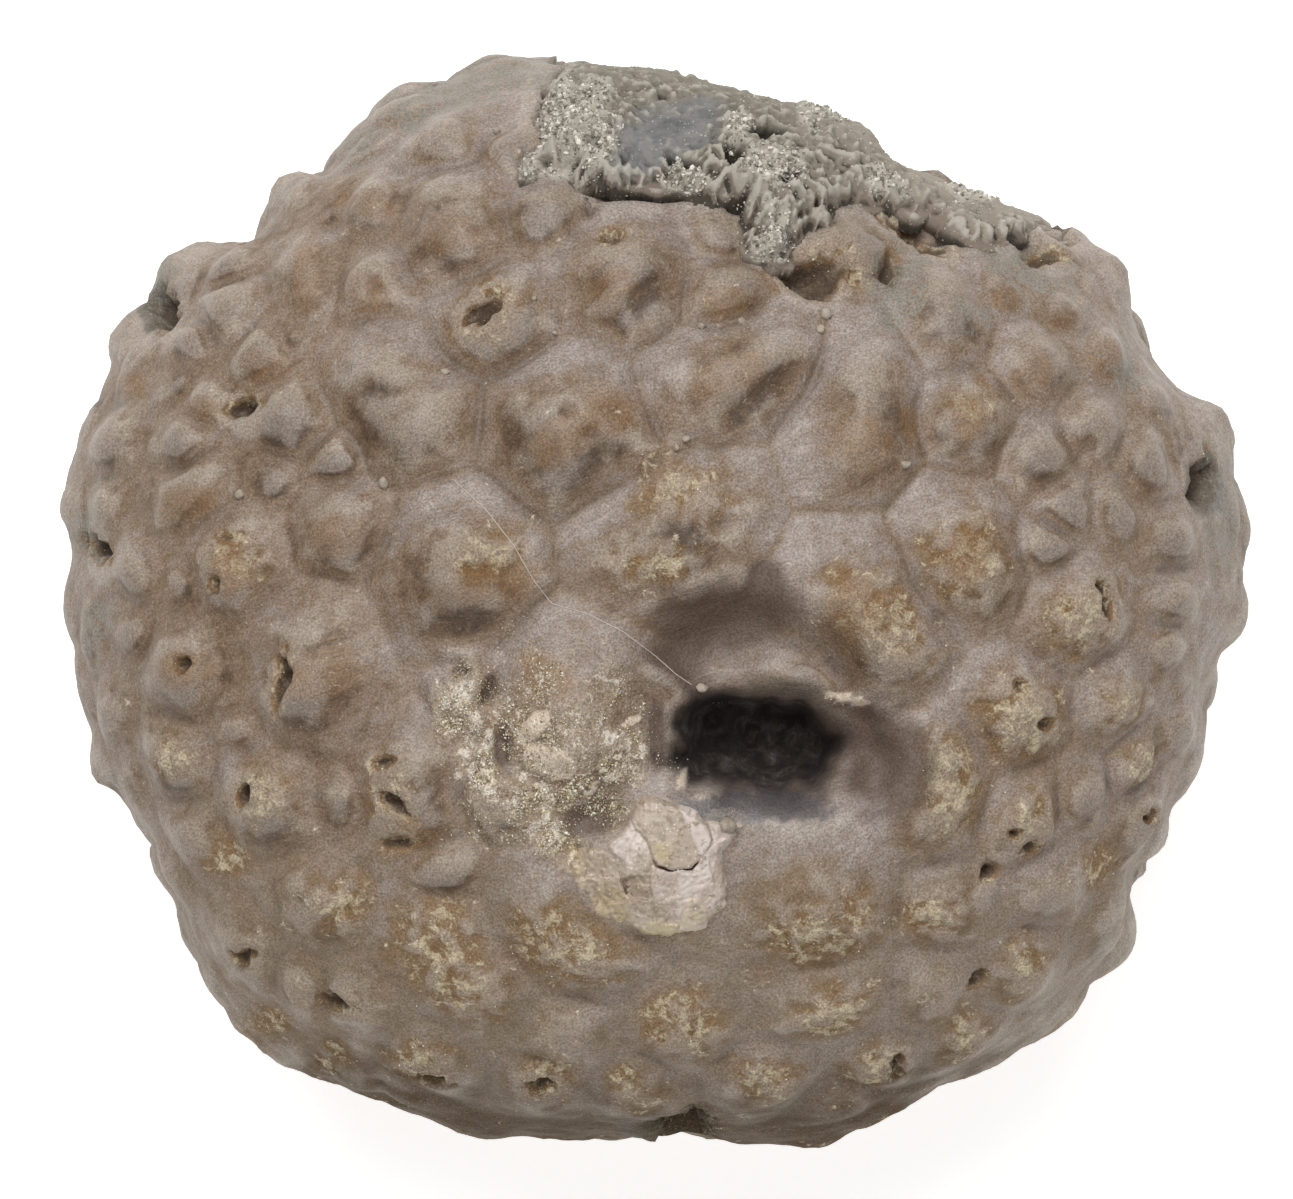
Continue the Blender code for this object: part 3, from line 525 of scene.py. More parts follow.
VENT_TONGUE = [(5.3, -2.9, 2.3, 0.9, -28), (0.2, -3.2, 1.0, 0.5, -40)]
BROKEN_PLATE = [(-0.2, -11.0, 3.1, 2.3), (0.9, -9.1, 1.9, 1.3, -20)]
WARM_MIDDLES = [
    (-3.9, -3.0, 1.7, 0.9, -15), (-3.0, -6.9, 0.9, 0.5), (-6.0, -5.3, 0.7, 1.2), (-1.6, 7.6, 1.4, 1.2),
    (-13.8, 12.9, 0.7, 1.3), (-12.7, 16.2, 0.6, 0.6), (-11.1, 15.5, 0.9, 0.7), (-11.3, 12.1, 1.0, 0.9),
    (-15.5, 9.4, 1.2, 0.7), (-20.9, 8.6, 0.6, 0.6), (-17.9, 7.7, 0.9, 0.6), (-18.5, 3.9, 1.5, 0.9, 20),
    (-16.7, 1.3, 1.0, 1.3), (-12.3, 2.6, 1.7, 1.0, 25), (-6.3, 0.7, 2.8, 1.0, 15), (-3.9, 6.0, 1.5, 1.0, 20),
    (8.0, 6.2, 1.5, 1.4), (12.1, 7.2, 1.0, 1.0), (-1.8, 12.2, 1.2, 0.8), (2.7, 11.7, 1.2, 0.7),
    (14.9, 8.9, 0.9, 0.9), (13.9, 12.1, 0.7, 0.6), (16.3, 11.3, 0.7, 0.5), (17.9, 9.6, 0.9, 0.8),
    (11.9, 1.8, 1.0, 1.7), (8.0, -0.2, 1.7, 1.4), (-13.0, -3.0, 1.9, 1.2, 20), (-7.9, 14.4, 1.6, 0.9),
    (2.9, 8.7, 1.8, 0.9, 35), (10.0, 6.9, 0.5, 0.9), (-18.6, -2.7, 1.3, 1.0), (-9.4, -9.0, 1.2, 0.8),
]
# The vent's mouth: its dark fill, and painted shade in the deep hole.
VENT_FILL_AND_SHADE = [(3.75, -5.6, 3.9, 2.15, -9)]
# The vent's walls are browner: partly their colour, partly painted shade where they face away from the light.
VENT_BROWN = [
    (2.7, -0.9, 4.1, 2.0, 20), (4.4, 0.4, 1.2, 1.6), (5.0, -5.8, 4.8, 2.9, -6), (9.0, -6.4, 2.4, 2.9),
    (0.1, -5.2, 0.5, 1.9), (-2.6, -8.6, 1.5, 0.9, 20), (-6.0, -5.8, 0.5, 1.1), (1.2, -2.6, 2.2, 1.1, -35),
]
VENT_SHADED = [(4.4, -4.0, 6.2, 4.4, -8), (1.0, -7.4, 0.8, 0.8)]
VENT_SLATE = [(3.9, -8.1, 3.5, 1.0, 2)]
ROCK_DUST = [
    (-8.2, 20.4, 4.4, 1.5, 30), (-7.4, 19.6, 0.9, 0.6), (-12.4, 18.4, 1.3, 1.2), (-4.3, 21.0, 2.5, 1.0),
    (-19.6, 12.4, 0.7, 1.8), (-22.6, 2.8, 0.6, 1.4), (-22.3, -0.6, 0.7, 1.6),
    (14.5, 13.4, 3.2, 1.2, -30), (9.6, 12.4, 1.4, 2.2), (12.6, 11.3, 1.2, 0.7), (22.6, 3.0, 0.7, 3.2),
    (18.6, 9.6, 0.9, 1.8, 30),
]
# The deep pits at the rim are painted darker: painted shade.
RIM_PIT_SHADE = [(0.4, -21.4, 2.4, 1.4), (-20.0, 11.8, 0.8, 1.3), (21.9, 4.6, 1.0, 1.6)]
LID_MARKS = {  # where, how much ripple and how much grit stir its edge, full up to, none from
    "rough": (BARE_GRAINS, 0.3, 0.2, 0.2, 1.5),
    "crust": (CREAM_CRUST, 0.35, 0.3, 0.35, 1.3),
    "thin_crust": (THIN_CRUST, 0.35, 0.3, 0.5, 1.1),
    "gold": (GOLD_GRAINS, 0.35, 0.3, 0.2, 1.2),
    "warm": (WARM_MIDDLES, 0.25, 0.0, 0.5, 1.3),
    "pink": (PINK_CALCITE_AND_HIGHLIGHT, 0.15, 0.0, 0.7, 1.0),
    "broken": (BROKEN_PLATE, 0.06, 0.0, 0.9, 1.0),
    "soot": (VENT_FILL_AND_SHADE, 0.14, 0.1, 0.6, 1.25),
    "brown": (VENT_BROWN, 0.12, 0.0, 0.4, 1.15),
    "shaded": (VENT_SHADED, 0.2, 0.0, 0.5, 1.1),
    "pale": (VENT_TONGUE, 0.15, 0.0, 0.4, 1.4),
    "slaty": (VENT_SLATE, 0.25, 0.2, 0.3, 1.2),
    "silt": (RIM_PIT_SHADE, 0.2, 0.0, 0.55, 1.15),
    "dusted": (ROCK_DUST, 0.35, 0.2, 0.2, 1.4),
}
print(len(LID_MARKS), "kinds of place")

# %% Mark those places
marks = {
    label: spots(body, places, coarse * ripple + fine * grit, full, none)
    for label, (places, coarse, fine, full, none) in LID_MARKS.items()
}
pink, broken, rough = marks["pink"], marks["broken"], marks["rough"]
crust = np.maximum(marks["crust"], 0.6 * marks["thin_crust"]) * (1 - broken)
# Over the shaded funnel the brown runs at half strength: painted shade.
brown = np.maximum(marks["brown"], 0.5 * marks["shaded"])
brown *= 1 - np.maximum(0.75 * marks["pale"], pink)
for pit in LID_PITS:
    lip = fade(ellipse_share(body[:, 0], body[:, 1], *pit[:5]) + 0.25 * ripple, 0.9, 1.9)
    rough = np.maximum(rough, 0.8 * lip * (body[:, 2] > 0))
rough *= 1 - np.maximum(broken, crust)
print("share of points that are rough:", (rough > 0.5).mean())

# %% [markdown]
# ### Pits, dents and swellings
# Pits go right into the stone, as they do in the solid model, and here they get a sharper lip.
# Dents and swellings are the slow unevenness of single plates, a few tenths of a millimetre.

# %% Pits and dents
PIT_DEEPER = 1.1  # times the depth in the solid model
DENTS = [  # x, y, half length, half width, slant, mm in, where a swelling has a minus
    (-6.0, 1.0, 1.9, 0.8, 12, 0.28), (-7.2, 2.0, 2.0, 0.6, 8, -0.16), (2.7, 3.0, 0.7, 0.5, 0, 0.2),
    (-1.6, 3.0, 1.3, 0.35, 20, 0.12), (0.9, 4.6, 1.8, 1.3, 10, -0.22), (-3.3, 7.3, 0.6, 0.5, 0, 0.2),
    (-2.4, 6.6, 0.6, 0.4, 0, 0.12), (-3.6, 7.0, 1.5, 1.3, 0, -0.12), (4.2, 8.2, 2.0, 0.5, 40, 0.12),
    (7.6, 7.4, 0.5, 0.5, 0, 0.15), (-1.8, 14.2, 0.9, 0.8, 0, 0.18), (-0.4, 12.0, 1.3, 0.6, 30, 0.15),
    (-11.1, 12.4, 0.6, 0.6, 0, 0.2), (-16.8, 2.9, 0.8, 0.7, 0, 0.2), (-13.0, -1.9, 1.3, 0.5, 20, 0.1),
    (-12.3, -3.6, 0.9, 1.4, 20, 0.12), (8.8, 0.8, 1.4, 0.8, -30, -0.12), (12.0, 3.3, 1.5, 0.7, -20, -0.1),
    (6.9, -11.0, 2.3, 0.7, -25, -0.1), (-4.6, -3.4, 1.6, 1.2, 0, -0.1), (17.2, 6.2, 1.0, 0.4, 60, 0.2),
    (-7.6, -2.1, 1.2, 0.5, -10, -0.35), (-7.0, -3.5, 0.9, 0.28, -70, -0.45), (-8.7, -3.9, 0.9, 0.3, 88, -0.3),
    (-7.4, -2.9, 0.4, 0.3, 0, 0.45), (-6.5, -3.8, 0.6, 0.25, 75, 0.45), (-7.0, -4.8, 0.4, 0.4, 0, -0.3),
    (-6.1, -5.8, 0.9, 0.35, 90, 0.35), (-4.7, -4.9, 0.6, 0.35, 45, -0.25), (-4.5, -5.5, 0.6, 0.2, 0, 0.2),
    (-5.9, -7.6, 0.3, 0.25, 0, 0.4), (-6.8, -8.4, 1.6, 0.14, -62, -0.25), (-5.6, 1.2, 0.6, 0.25, 50, 0.25),
    (0.4, 6.1, 1.3, 0.3, 8, -0.25), (2.7, 3.0, 0.8, 0.5, 0, 0.15), (3.8, 3.8, 1.0, 0.9, 0, -0.18),
    (-1.2, -14.3, 1.4, 0.25, -15, -0.2), (6.6, -16.2, 3.0, 0.4, 20, -0.2), (12.3, 7.4, 0.8, 0.8, 0, -0.15),
    (12.3, 7.4, 0.35, 0.35, 0, 0.15), (-16.7, 1.7, 1.0, 1.0, 0, 0.2), (8.3, -15.6, 1.6, 0.3, 10, 0.15),
]
print(len(DENTS), "dents and swellings")


# %% Press them in
def hollows(points, places, stir, full, none):
    """Sum of soft hollows in the lid, in mm: each place is an ellipse and how deep it goes."""
    depth = np.zeros(len(points))
    for *place, deep in places:
        depth += deep * fade(ellipse_share(points[:, 0], points[:, 1], *place) + stir, full, none)
    return depth * (points[:, 2] > 0)


def sockets(points):
    """The arm sockets below the rim, in mm."""
    radius, deep = SOCKET
    across, up = SOCKET_AIM
    depth = np.zeros(len(points))
    for turn in np.radians([ray + turn for ray in RAYS for turn in SOCKET_TURNS]):
        aim = np.array([[math.cos(turn) * across, math.sin(turn) * across, up]])
        near = np.linalg.norm(points - smooth_body(aim)[0], axis=1) / radius
        depth += deep * fade(near, 0.4, 1.4)
    return depth


def stem_scar(points):
    """The hollow under the cup with the round facet and the canal of the lost stem."""
    radius = np.hypot(points[:, 0], points[:, 1])
    hollow = STEM_HOLLOW[1] * fade(radius, STEM_HOLLOW[0] * 0.55, STEM_HOLLOW[0] * 1.25)
    facet = STEM_FACET[1] * fade(radius, STEM_FACET[0] * 0.85, STEM_FACET[0] * 1.1)
    canal = STEM_CANAL[1] * fade(radius, STEM_CANAL[0] * 0.6, STEM_CANAL[0] * 1.3)
    return (hollow - facet + canal) * (points[:, 2] < 0)


pit_depth = PIT_DEEPER * hollows(body, LID_PITS, 0.32 * grit + 0.2 * ripple, 0.3, 1.2) + sockets(body)
relief += 0.05 * ripple + 0.03 * grit - pit_depth - stem_scar(body)
relief -= hollows(body, DENTS, 0.12 * ripple, 0.0, 1.3)
print("deepest pit, mm:", pit_depth.max())

# %% [markdown]
# ### Grain, crust and the bed of the snapped plate
# Bare calcite shows grains of half a millimetre, and the crust is a heap of them.
# The snapped plate gets a net of its own later, so here we only level the ground for it.

# %% Grain, crust and the levelled bed
GRAIN_SIZE = 0.62  # mm
GRAIN_HEIGHT = 0.14  # mm
CRUST_HEIGHTS = (0.1, 0.13)  # mm, its thickness and how much it heaps up
SNAPPED_BED = (0.12, 0.55)  # mm over the smooth body, and mm more in the middle of a plate

grains = np.abs(waves(body, GRAIN_SIZE, 5))
heap = waves(body, 0.9, 6) + 0.6 * waves(body, 0.5, 7)
relief += rough * (GRAIN_HEIGHT * grains + 0.05 * grit - 0.05)
relief += crust * (CRUST_HEIGHTS[0] + CRUST_HEIGHTS[1] * heap) + pink * CRUST_HEIGHTS[0]
relief = relief * (1 - broken) + (SNAPPED_BED[0] + SNAPPED_BED[1] * cushion) * broken
print("relief, mm:", relief.min(), relief.max())

# %% [markdown]
# ### The vent and the bed under the rock
# The hole in the lid is the anus of the animal. Smooth walls lead down to it on its upper left and
# on its right, a tongue of the next plate hangs over it, and its floor is choked with rubble, painted
# dark as its fill and as painted shade.
# Under the rock the plates are pressed down, and the rock's border is made ragged with the same
# noise that its own mesh will use, so that the two fit.

# %% Sizes of the vent and of the gaps by the rock
VENT_MOUTH = (3.9, -5.75, 3.7, 2.3, -9)
VENT_THROAT = (5.2, -5.9, 4.6, 2.8, -7)
VENT_WALLS = [  # x, y, half length, half width, slant, depth
    (2.7, -1.0, 3.4, 1.7, 20, 0.85), (9.0, -6.4, 1.7, 2.4, 0, 0.6), (5.5, -3.2, 2.0, 1.0, -22, -0.9),
    (0.2, -2.9, 1.2, 0.6, -25, -0.4), (7.3, -3.9, 0.9, 0.25, 8, -0.3), (-2.5, -8.5, 1.4, 0.9, 20, 0.6),
    (-6.0, -5.8, 0.5, 1.1, 0, 0.35), (8.4, -9.4, 1.6, 0.35, -48, -0.25),
]
CREVICES = [  # x, y, half length, half width, slant, depth
    (-0.6, 16.2, 2.2, 0.3, -4, 1.1), (1.2, 17.2, 0.9, 0.35, -28, 0.9), (3.1, 17.3, 0.7, 0.35, -55, 0.9),
    (4.7, 18.3, 1.0, 0.4, 10, 0.8), (3.2, 15.6, 0.5, 0.3, 0, 0.8), (11.0, 15.0, 1.8, 0.42, -20, 1.3),
    (5.2, 16.2, 0.5, 0.3, 20, 0.8), (-2.9, 15.2, 0.9, 0.25, 50, 0.6), (15.0, 14.3, 0.8, 0.3, -8, 0.8),
    (7.4, 17.6, 0.5, 0.25, 0, 0.5), (6.4, 13.4, 1.3, 0.4, 40, 0.9),
]
VENT_FLOOR = (3.2, 2.4)  # mm, how deep the mouth and the throat go
FUNNEL_DEPTH = 0.8  # of its depth in the solid model
FUNNEL_CALM = 0.75  # how far the funnel smooths the plates' relief
VENT_RUBBLE = 0.55  # mm
VENT_LUMPS = [  # as the walls, and their height
    (1.1, -6.9, 0.25, 0.6, 4, 1.6), (4.6, -8.0, 1.7, 0.35, 8, 1.0), (6.0, -6.3, 0.6, 0.4, 0, 0.7),
]
print(len(CREVICES), "gaps by the rock")


# %% Inside the rock's edge
def inside_edge(plan, edge):
    """Distance of each point on the plan from a closed edge, negative outside it."""
    edge = np.array(edge)
    nearest = np.full(len(plan), 1e6)
    inside = np.zeros(len(plan), bool)
    for start, end in zip(edge, np.roll(edge, -1, axis=0)):
        nearest = np.minimum(nearest, distance_to(plan, start, end))
        crosses = (start[1] > plan[:, 1]) != (end[1] > plan[:, 1])
        level = (plan[:, 1] - start[1]) / (end[1] - start[1] or 1e-9)
        inside ^= crosses & (plan[:, 0] < start[0] + level * (end[0] - start[0]))
    return np.where(inside, nearest, -nearest)


def inside_rock(points):
    """How far each point lies inside the rock's ragged edge, negative outside it."""
    radius = np.maximum(np.hypot(points[:, 0], points[:, 1]), 1e-6)
    beyond = rim_at(points[:, 0], points[:, 1], SMOOTH_RIM) - points[:, 2]
    plan = points[:, :2] * np.where(points[:, 2] < 0, beyond / radius, 1)[:, None]
    return inside_edge(plan, ROCK_EDGE) + 0.35 * waves(points, 1.3, 11) + 0.18 * waves(points, 0.6, 12)


def crevices(points):
    """Depth of the dark gaps between the rock and the plates, and in the rock itself."""
    depth = np.zeros(len(points))
    stir = 0.25 * waves(points, 0.8, 24)
    for *place, deep in CREVICES:
        near = ellipse_share(points[:, 0], points[:, 1], *place) + stir
        depth = np.maximum(depth, deep * fade(near, 0.3, 1.25))
    return depth * (points[:, 2] > 0)


under_rock = inside_rock(body)
print("points under the rock:", (under_rock > 0).sum())

# %% The skin of the calyx
bed = fade(-under_rock, -0.5, -0.1)
relief = relief * (1 - bed) - ROCK_BED * bed
funnel = fade(ellipse_share(body[:, 0], body[:, 1], *VENT_FUNNEL[:5]), 0.25, 1.05)
funnel *= body[:, 2] > 0
relief *= 1 - FUNNEL_CALM * funnel * (1 - broken)
relief -= crevices(body) * fade(-under_rock, -0.2, 1.2)
skin = body + body_out * relief[:, None]
mouth = spots(body, [VENT_MOUTH], 0.09 * ripple + 0.06 * grit, 0.62, 1.05)
throat = spots(body, [VENT_THROAT], 0.06 * ripple, 0.3, 1.1)
skin[:, 2] -= VENT_FUNNEL[5] * FUNNEL_DEPTH * funnel + VENT_FLOOR[0] * mouth + VENT_FLOOR[1] * throat
skin[:, 2] -= hollows(body, VENT_WALLS, 0.08 * ripple, 0.0, 1.25) * (1 - broken)
lumps = hollows(body, VENT_LUMPS, 0.08 * ripple, 0.3, 1.25)
skin[:, 2] += mouth * VENT_RUBBLE * heap + lumps * fade(-mouth, -0.6, 0.0)
skin[:, 2] = np.maximum(skin[:, 2] + TABLE_DEPTH, 0.0)
print("skin, mm:", skin.min(axis=0), skin.max(axis=0))

# %% [markdown]
# ### Held inside the solid model's box
# The fine skin may not stand out past the solid model, or the part would measure wrongly.
# Its crown comes out 0.8 mm taller, so each side is drawn in until the two boxes agree. Only over
# the crown a little room is left, for the thread that will lie there.

# %% Fit to the solid model
THREAD_ROOM = 0.07  # mm left over the crown for the thread that will lie on it


def fit_inside(points, box):
    """Scales each axis about the box's middle until the points fill the box and no more."""
    low, high = points.min(axis=0), points.max(axis=0)
    return box[0] + (points - low) * (box[1] - box[0]) / (high - low)


fitted = fit_inside(skin, CALYX_BOX - [(0, 0, 0), (0, 0, THREAD_ROOM)])
print("moved at most, mm:", np.abs(fitted - skin).max())
skin = fitted

# %% [markdown]
# ### Crests and hollows
# The finish paints crests paler and hollows darker, as painted light and shade, so it has to know which is
# which.
# We let the surface relax, each point moving to the mean of its neighbours over and over, and
# compare: where the real surface stands over the relaxed one there is a crest.

# %% Crests and hollows
FINE_ROUNDS = 12  # relaxes detail under about half a millimetre
BROAD_ROUNDS = 110  # and under about a millimetre and a half
PAINTED_LIGHT_FROM = (-0.35, 0.9, 0.0)  # the way the painted light comes from: what faces it is painted paler, what faces away browner


def sides_of(faces):
    """Each side of each four-sided face, as the numbers of its two points."""
    return np.concatenate([faces[:, [0, 1]], faces[:, [1, 2]], faces[:, [2, 3]], faces[:, [3, 0]]])


def relaxed(points, faces, rounds):
    """The points after each has moved to the mean of its neighbours, this many times."""
    sides = sides_of(faces)
    count = np.bincount(sides[:, 0], minlength=len(points))[:, None]
    for _ in range(rounds):
        total = np.stack([np.bincount(sides[:, 0], points[sides[:, 1], axis], len(points))
                          for axis in range(3)], axis=1)
        points = total / count
    return points


def crests(points, faces, calm):
    """Height of each point over the relaxed surface, in mm."""
    return ((points - calm) * outward(calm, faces)).sum(axis=1)


calmed = relaxed(skin, net_faces, FINE_ROUNDS)
crest = crests(skin, net_faces, calmed)
swell = crests(skin, net_faces, relaxed(calmed, net_faces, BROAD_ROUNDS))
# How far each bit of surface turns towards the light: painted light and shade in the skin's tone.
light_facing = (outward(calmed, net_faces) - body_out) @ PAINTED_LIGHT_FROM
print("crests, mm:", crest.min(), crest.max(), "swells, mm:", swell.min(), swell.max())
print("lean:", np.percentile(light_facing, (2, 20, 50, 80, 98)))

# %% [markdown]
# ### The mesh and its painted values
# A mesh can carry a number at each point, an attribute, and a material can read it by name.
# That is how the finish will know where a pit or a suture is, with no picture wrapped round.

# %% Make the calyx
def make_piece(name, points, faces, values=()):
    """A smooth mesh object in metres that rides on the part, with one attribute for each value."""
    mesh = bpy.data.meshes.new(name)
    mesh.from_pydata((points * MM).tolist(), [], faces.tolist())
    mesh.shade_smooth()
    for label, numbers in dict(values).items():
        painted = mesh.attributes.new(label, "FLOAT", "POINT")
        painted.data.foreach_set("value", np.asarray(numbers, np.float32))
    piece = bpy.data.objects.new(name, mesh)
    bpy.context.collection.objects.link(piece)
    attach(piece, "root")
    return piece


STAIN_DROP = 0.32  # the stain sits this share of a half width below the middle of its plate, on the side away from the light: stain, and partly painted shade
LINE_HALF = 0.16  # mm, half width of the dark line in the middle of a suture: partly a dark joint, partly painted shade on the groove's floor

drift = waves(body, 3.5, 13)
inner = fade(-share, -0.35, 0.0)
stain = fade(np.linalg.norm(offset + (0, STAIN_DROP, 0), axis=1) + 0.2 * ripple, 0.3, 1.35) * inner
stain = np.maximum(stain, 0.6 * fade(width, *FLAT_WIDTHS) * inner)
stain = np.maximum(stain, 0.45 * fade(body[:, 0] + 2.0 * drift, -17.0, -5.0))
stain = np.maximum(stain, 0.25 * fade(-body[:, 0] + 2.0 * drift, -18.0, -9.0))
film = fade(body[:, 1] + 1.5 * drift, -17.0, -3.0) * (body[:, 2] > -12)
away_from_rim = fade(np.abs(body[:, 2] - 1.5), 1.5, 8.0)
calyx = make_piece("plated_calyx", skin, net_faces, {
    "line": np.exp(-((suture / LINE_HALF) ** 2)) * (0.2 + 0.8 * creased),
    "apron": fade(share, 0.0, 0.4),
    "stain": stain,
    "film": film,
    "rough": np.maximum(rough, 0.75 * stain * film * fade(waves(body, 2.2, 15), -0.4, 0.4)),
    "crust": crust,
    "pink": pink,
    "soot": marks["soot"] * (1 - 0.8 * pink),
    "brown": brown,
    # Darker the deeper a pit or socket goes: painted shade.
    "pit": np.clip(pit_depth / 0.6, 0, 1),
    # Darker towards the lower edge, which faces away from the light: painted shade.
    "under": away_from_rim * fade(body[:, 1] + 0.8 * ripple, -20.6, -16.0),
    "crest_mm": crest,
    "swell_mm": swell,
    "light_facing": light_facing,
    **{label: marks[label] for label in ("warm", "gold", "silt", "slaty", "dusted")},
})
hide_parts("calyx")
print("calyx:", len(net_faces) * 2, "triangles")

# %% [markdown]
# ## The snapped plate
# One plate beside the vent has lost its skin. Calcite breaks along flat cleavage faces, so it shows
# a smooth pinkish wedge that ends in a dark crack, with small tilted flats round it, all paler
# than the weathered lid. Such sharp steps need a closer net than the rest, so it gets its own:
# a grid with steps of 0.035 mm, laid on the skin and tucked under it all round its ragged edge.

# %% Its edge, its wedge and its flats
SNAPPED_EDGE = [
    (-3.6, -10.2), (-3.3, -11.2), (-2.4, -12.4), (-0.9, -13.2), (0.5, -13.5), (2.0, -13.1), (3.0, -12.1),
    (3.2, -11.0), (2.9, -10.0), (3.4, -9.2), (3.1, -8.6), (2.1, -8.4), (1.2, -8.0), (0.0, -7.5),
    (-1.0, -7.8), (-1.1, -8.8), (-1.9, -9.5), (-3.0, -9.6),
]
WEDGE_EDGE = [
    (-1.1, -7.9), (0.0, -7.4), (1.4, -8.0), (2.2, -8.6), (2.4, -9.4), (2.0, -10.0), (1.5, -10.5),
    (0.8, -10.6), (0.15, -10.4), (-0.25, -9.6), (-0.7, -8.9),
]
FLATS = [  # x, y, height, slope along x, slope along y, how white, how yellow
    (-3.0, -10.4, 0.10, 0.1, 0.0, 0.2, 0.5), (-2.4, -10.3, 0.20, -0.2, 0.1, 0.3, 0.2),
    (-1.7, -10.3, 0.16, 0.1, 0.1, 0.3, 0.0), (-1.2, -9.6, 0.34, -0.3, -0.1, 0.75, 0.0),
    (-0.7, -10.5, 0.28, -0.3, 0.0, 0.5, 0.2), (-2.7, -11.5, 0.12, 0.1, 0.2, 0.3, 0.4),
    (-1.7, -11.6, 0.08, 0.0, 0.2, 0.15, 0.5), (-0.6, -11.2, 0.02, 0.1, 0.0, 0.0, 0.1),
    (0.4, -11.3, 0.22, -0.1, 0.15, 0.6, 0.0), (1.4, -11.2, 0.26, 0.05, 0.1, 0.8, 0.0),
    (1.95, -10.7, 0.40, 0.1, 0.1, 1.0, 0.0), (2.7, -10.7, 0.14, -0.3, 0.1, 0.35, 0.0),
    (2.4, -11.7, 0.22, -0.2, 0.2, 0.75, 0.2), (1.6, -12.4, 0.20, 0.0, 0.25, 0.6, 0.6),
    (0.6, -12.3, 0.22, 0.1, 0.2, 0.5, 0.1), (-0.4, -12.4, 0.20, 0.0, 0.25, 0.35, 0.3),
    (-1.5, -12.4, 0.16, 0.1, 0.3, 0.3, 0.6), (0.3, -13.1, 0.14, 0.0, 0.5, 0.5, 1.0),
    (2.8, -9.0, 0.36, 0.2, 0.2, 0.9, 0.3), (3.1, -9.7, 0.3, -0.2, 0.1, 0.8, 0.0),
]
SNAPPED_SPAN = (-4.3, 4.1, 240, -14.1, -6.9, 205)  # mm: x from, to, steps, then y
SNAPPED_TUCK = 0.2  # mm, how deep its border is tucked under the skin
FLAT_EDGES = (0.03, 0.16)  # mm over which one flat gives way to the next, in height and in tone
CRACK_DEPTH = 0.3
DROP_FROM = 0.1  # metres over the table, well clear of the part
print(len(FLATS), "flats")


# %% How it broke
def snapped_relief(points):
    """Height over the skin and the two tints of the broken face."""
    x, y = points[:, 0], points[:, 1]
    stir = np.stack([waves(points, 0.7, 40), waves(points, 0.7, 41)], axis=1) * 0.12
    stir += np.stack([waves(points, 0.25, 42), waves(points, 0.25, 43)], axis=1) * 0.05
    height, white, yellow, near, nearer = np.zeros((5, len(points)))
    for middle_x, middle_y, rise, slope_x, slope_y, how_white, how_yellow in FLATS:
        gap = np.hypot(x + stir[:, 0] - middle_x, y + stir[:, 1] - middle_y)
        tilted = rise + slope_x * (x - middle_x) + slope_y * (y - middle_y)
        sharp, soft = (np.exp(-gap / edge) for edge in FLAT_EDGES)
        height += sharp * tilted
        white += soft * how_white
        yellow += soft * how_yellow
        nearer += sharp
        near += soft
    height, white, yellow = height / nearer, white / near, yellow / near
    height += 0.07 * np.abs(waves(points, 0.4, 44)) + 0.04 * waves(points, 0.16, 45)
    white = white + 0.25 * waves(points, 0.8, 49)
    depth_in = inside_edge(points[:, :2] + 0.5 * stir, WEDGE_EDGE)
    wedge = fade(-depth_in, -0.06, 0.02)
    bulge = 0.34 + 0.08 * (x - 0.5) + 0.05 * waves(points, 0.9, 46) + 0.02 * waves(points, 0.3, 48)
    height = 0.75 * height * (1 - wedge) + bulge * wedge
    # A facet and a strip of the wedge are painted whiter: painted highlight.
    facet = fade(np.abs(x + 0.45 * (y + 9) - 1.75), 0.25, 0.45)
    strip = fade(np.abs(x + 0.55 * (y + 8.6) + 1.0), 0.08, 0.3)
    white = white * (1 - wedge) + wedge * (0.3 + 0.7 * np.maximum(facet, strip))
    height += wedge * (0.06 * facet + 0.05 * strip)
    yellow = yellow * (1 - wedge) + wedge * 0.8 * fade(np.hypot(x - 0.3, y + 9.9), 0.1, 0.8)
    # The crack is a groove, and the finish paints it dark: painted shade.
    crack = fade(np.abs(depth_in + 0.04), 0.0, 0.07 + 0.05 * waves(points, 0.6, 47))
    crack *= fade(y, -10.4, -9.8) * fade(np.abs(x - 0.9), 0.7, 1.1)
    height -= CRACK_DEPTH * crack
    from_edge = inside_edge(points[:, :2] + stir, SNAPPED_EDGE)
    rim = fade(from_edge, 0.0, 0.5)
    yellow = np.maximum(0.8 * yellow, rim * fade(y, -12.0, -10.5) * 0.75)
    edge = fade(-from_edge, -0.35, 0.03)
    return (height + SNAPPED_TUCK) * edge - SNAPPED_TUCK, white, yellow, crack


# %% Make the snapped plate
def landing(tree, x, y):
    """Where a thing let fall at x, y touches the skin, and which way the skin faces there."""
    point, normal, _, _ = tree.ray_cast(Vector((x * MM, y * MM, DROP_FROM)), Vector((0, 0, -1)))
    return np.array(point) / MM, np.array(normal)


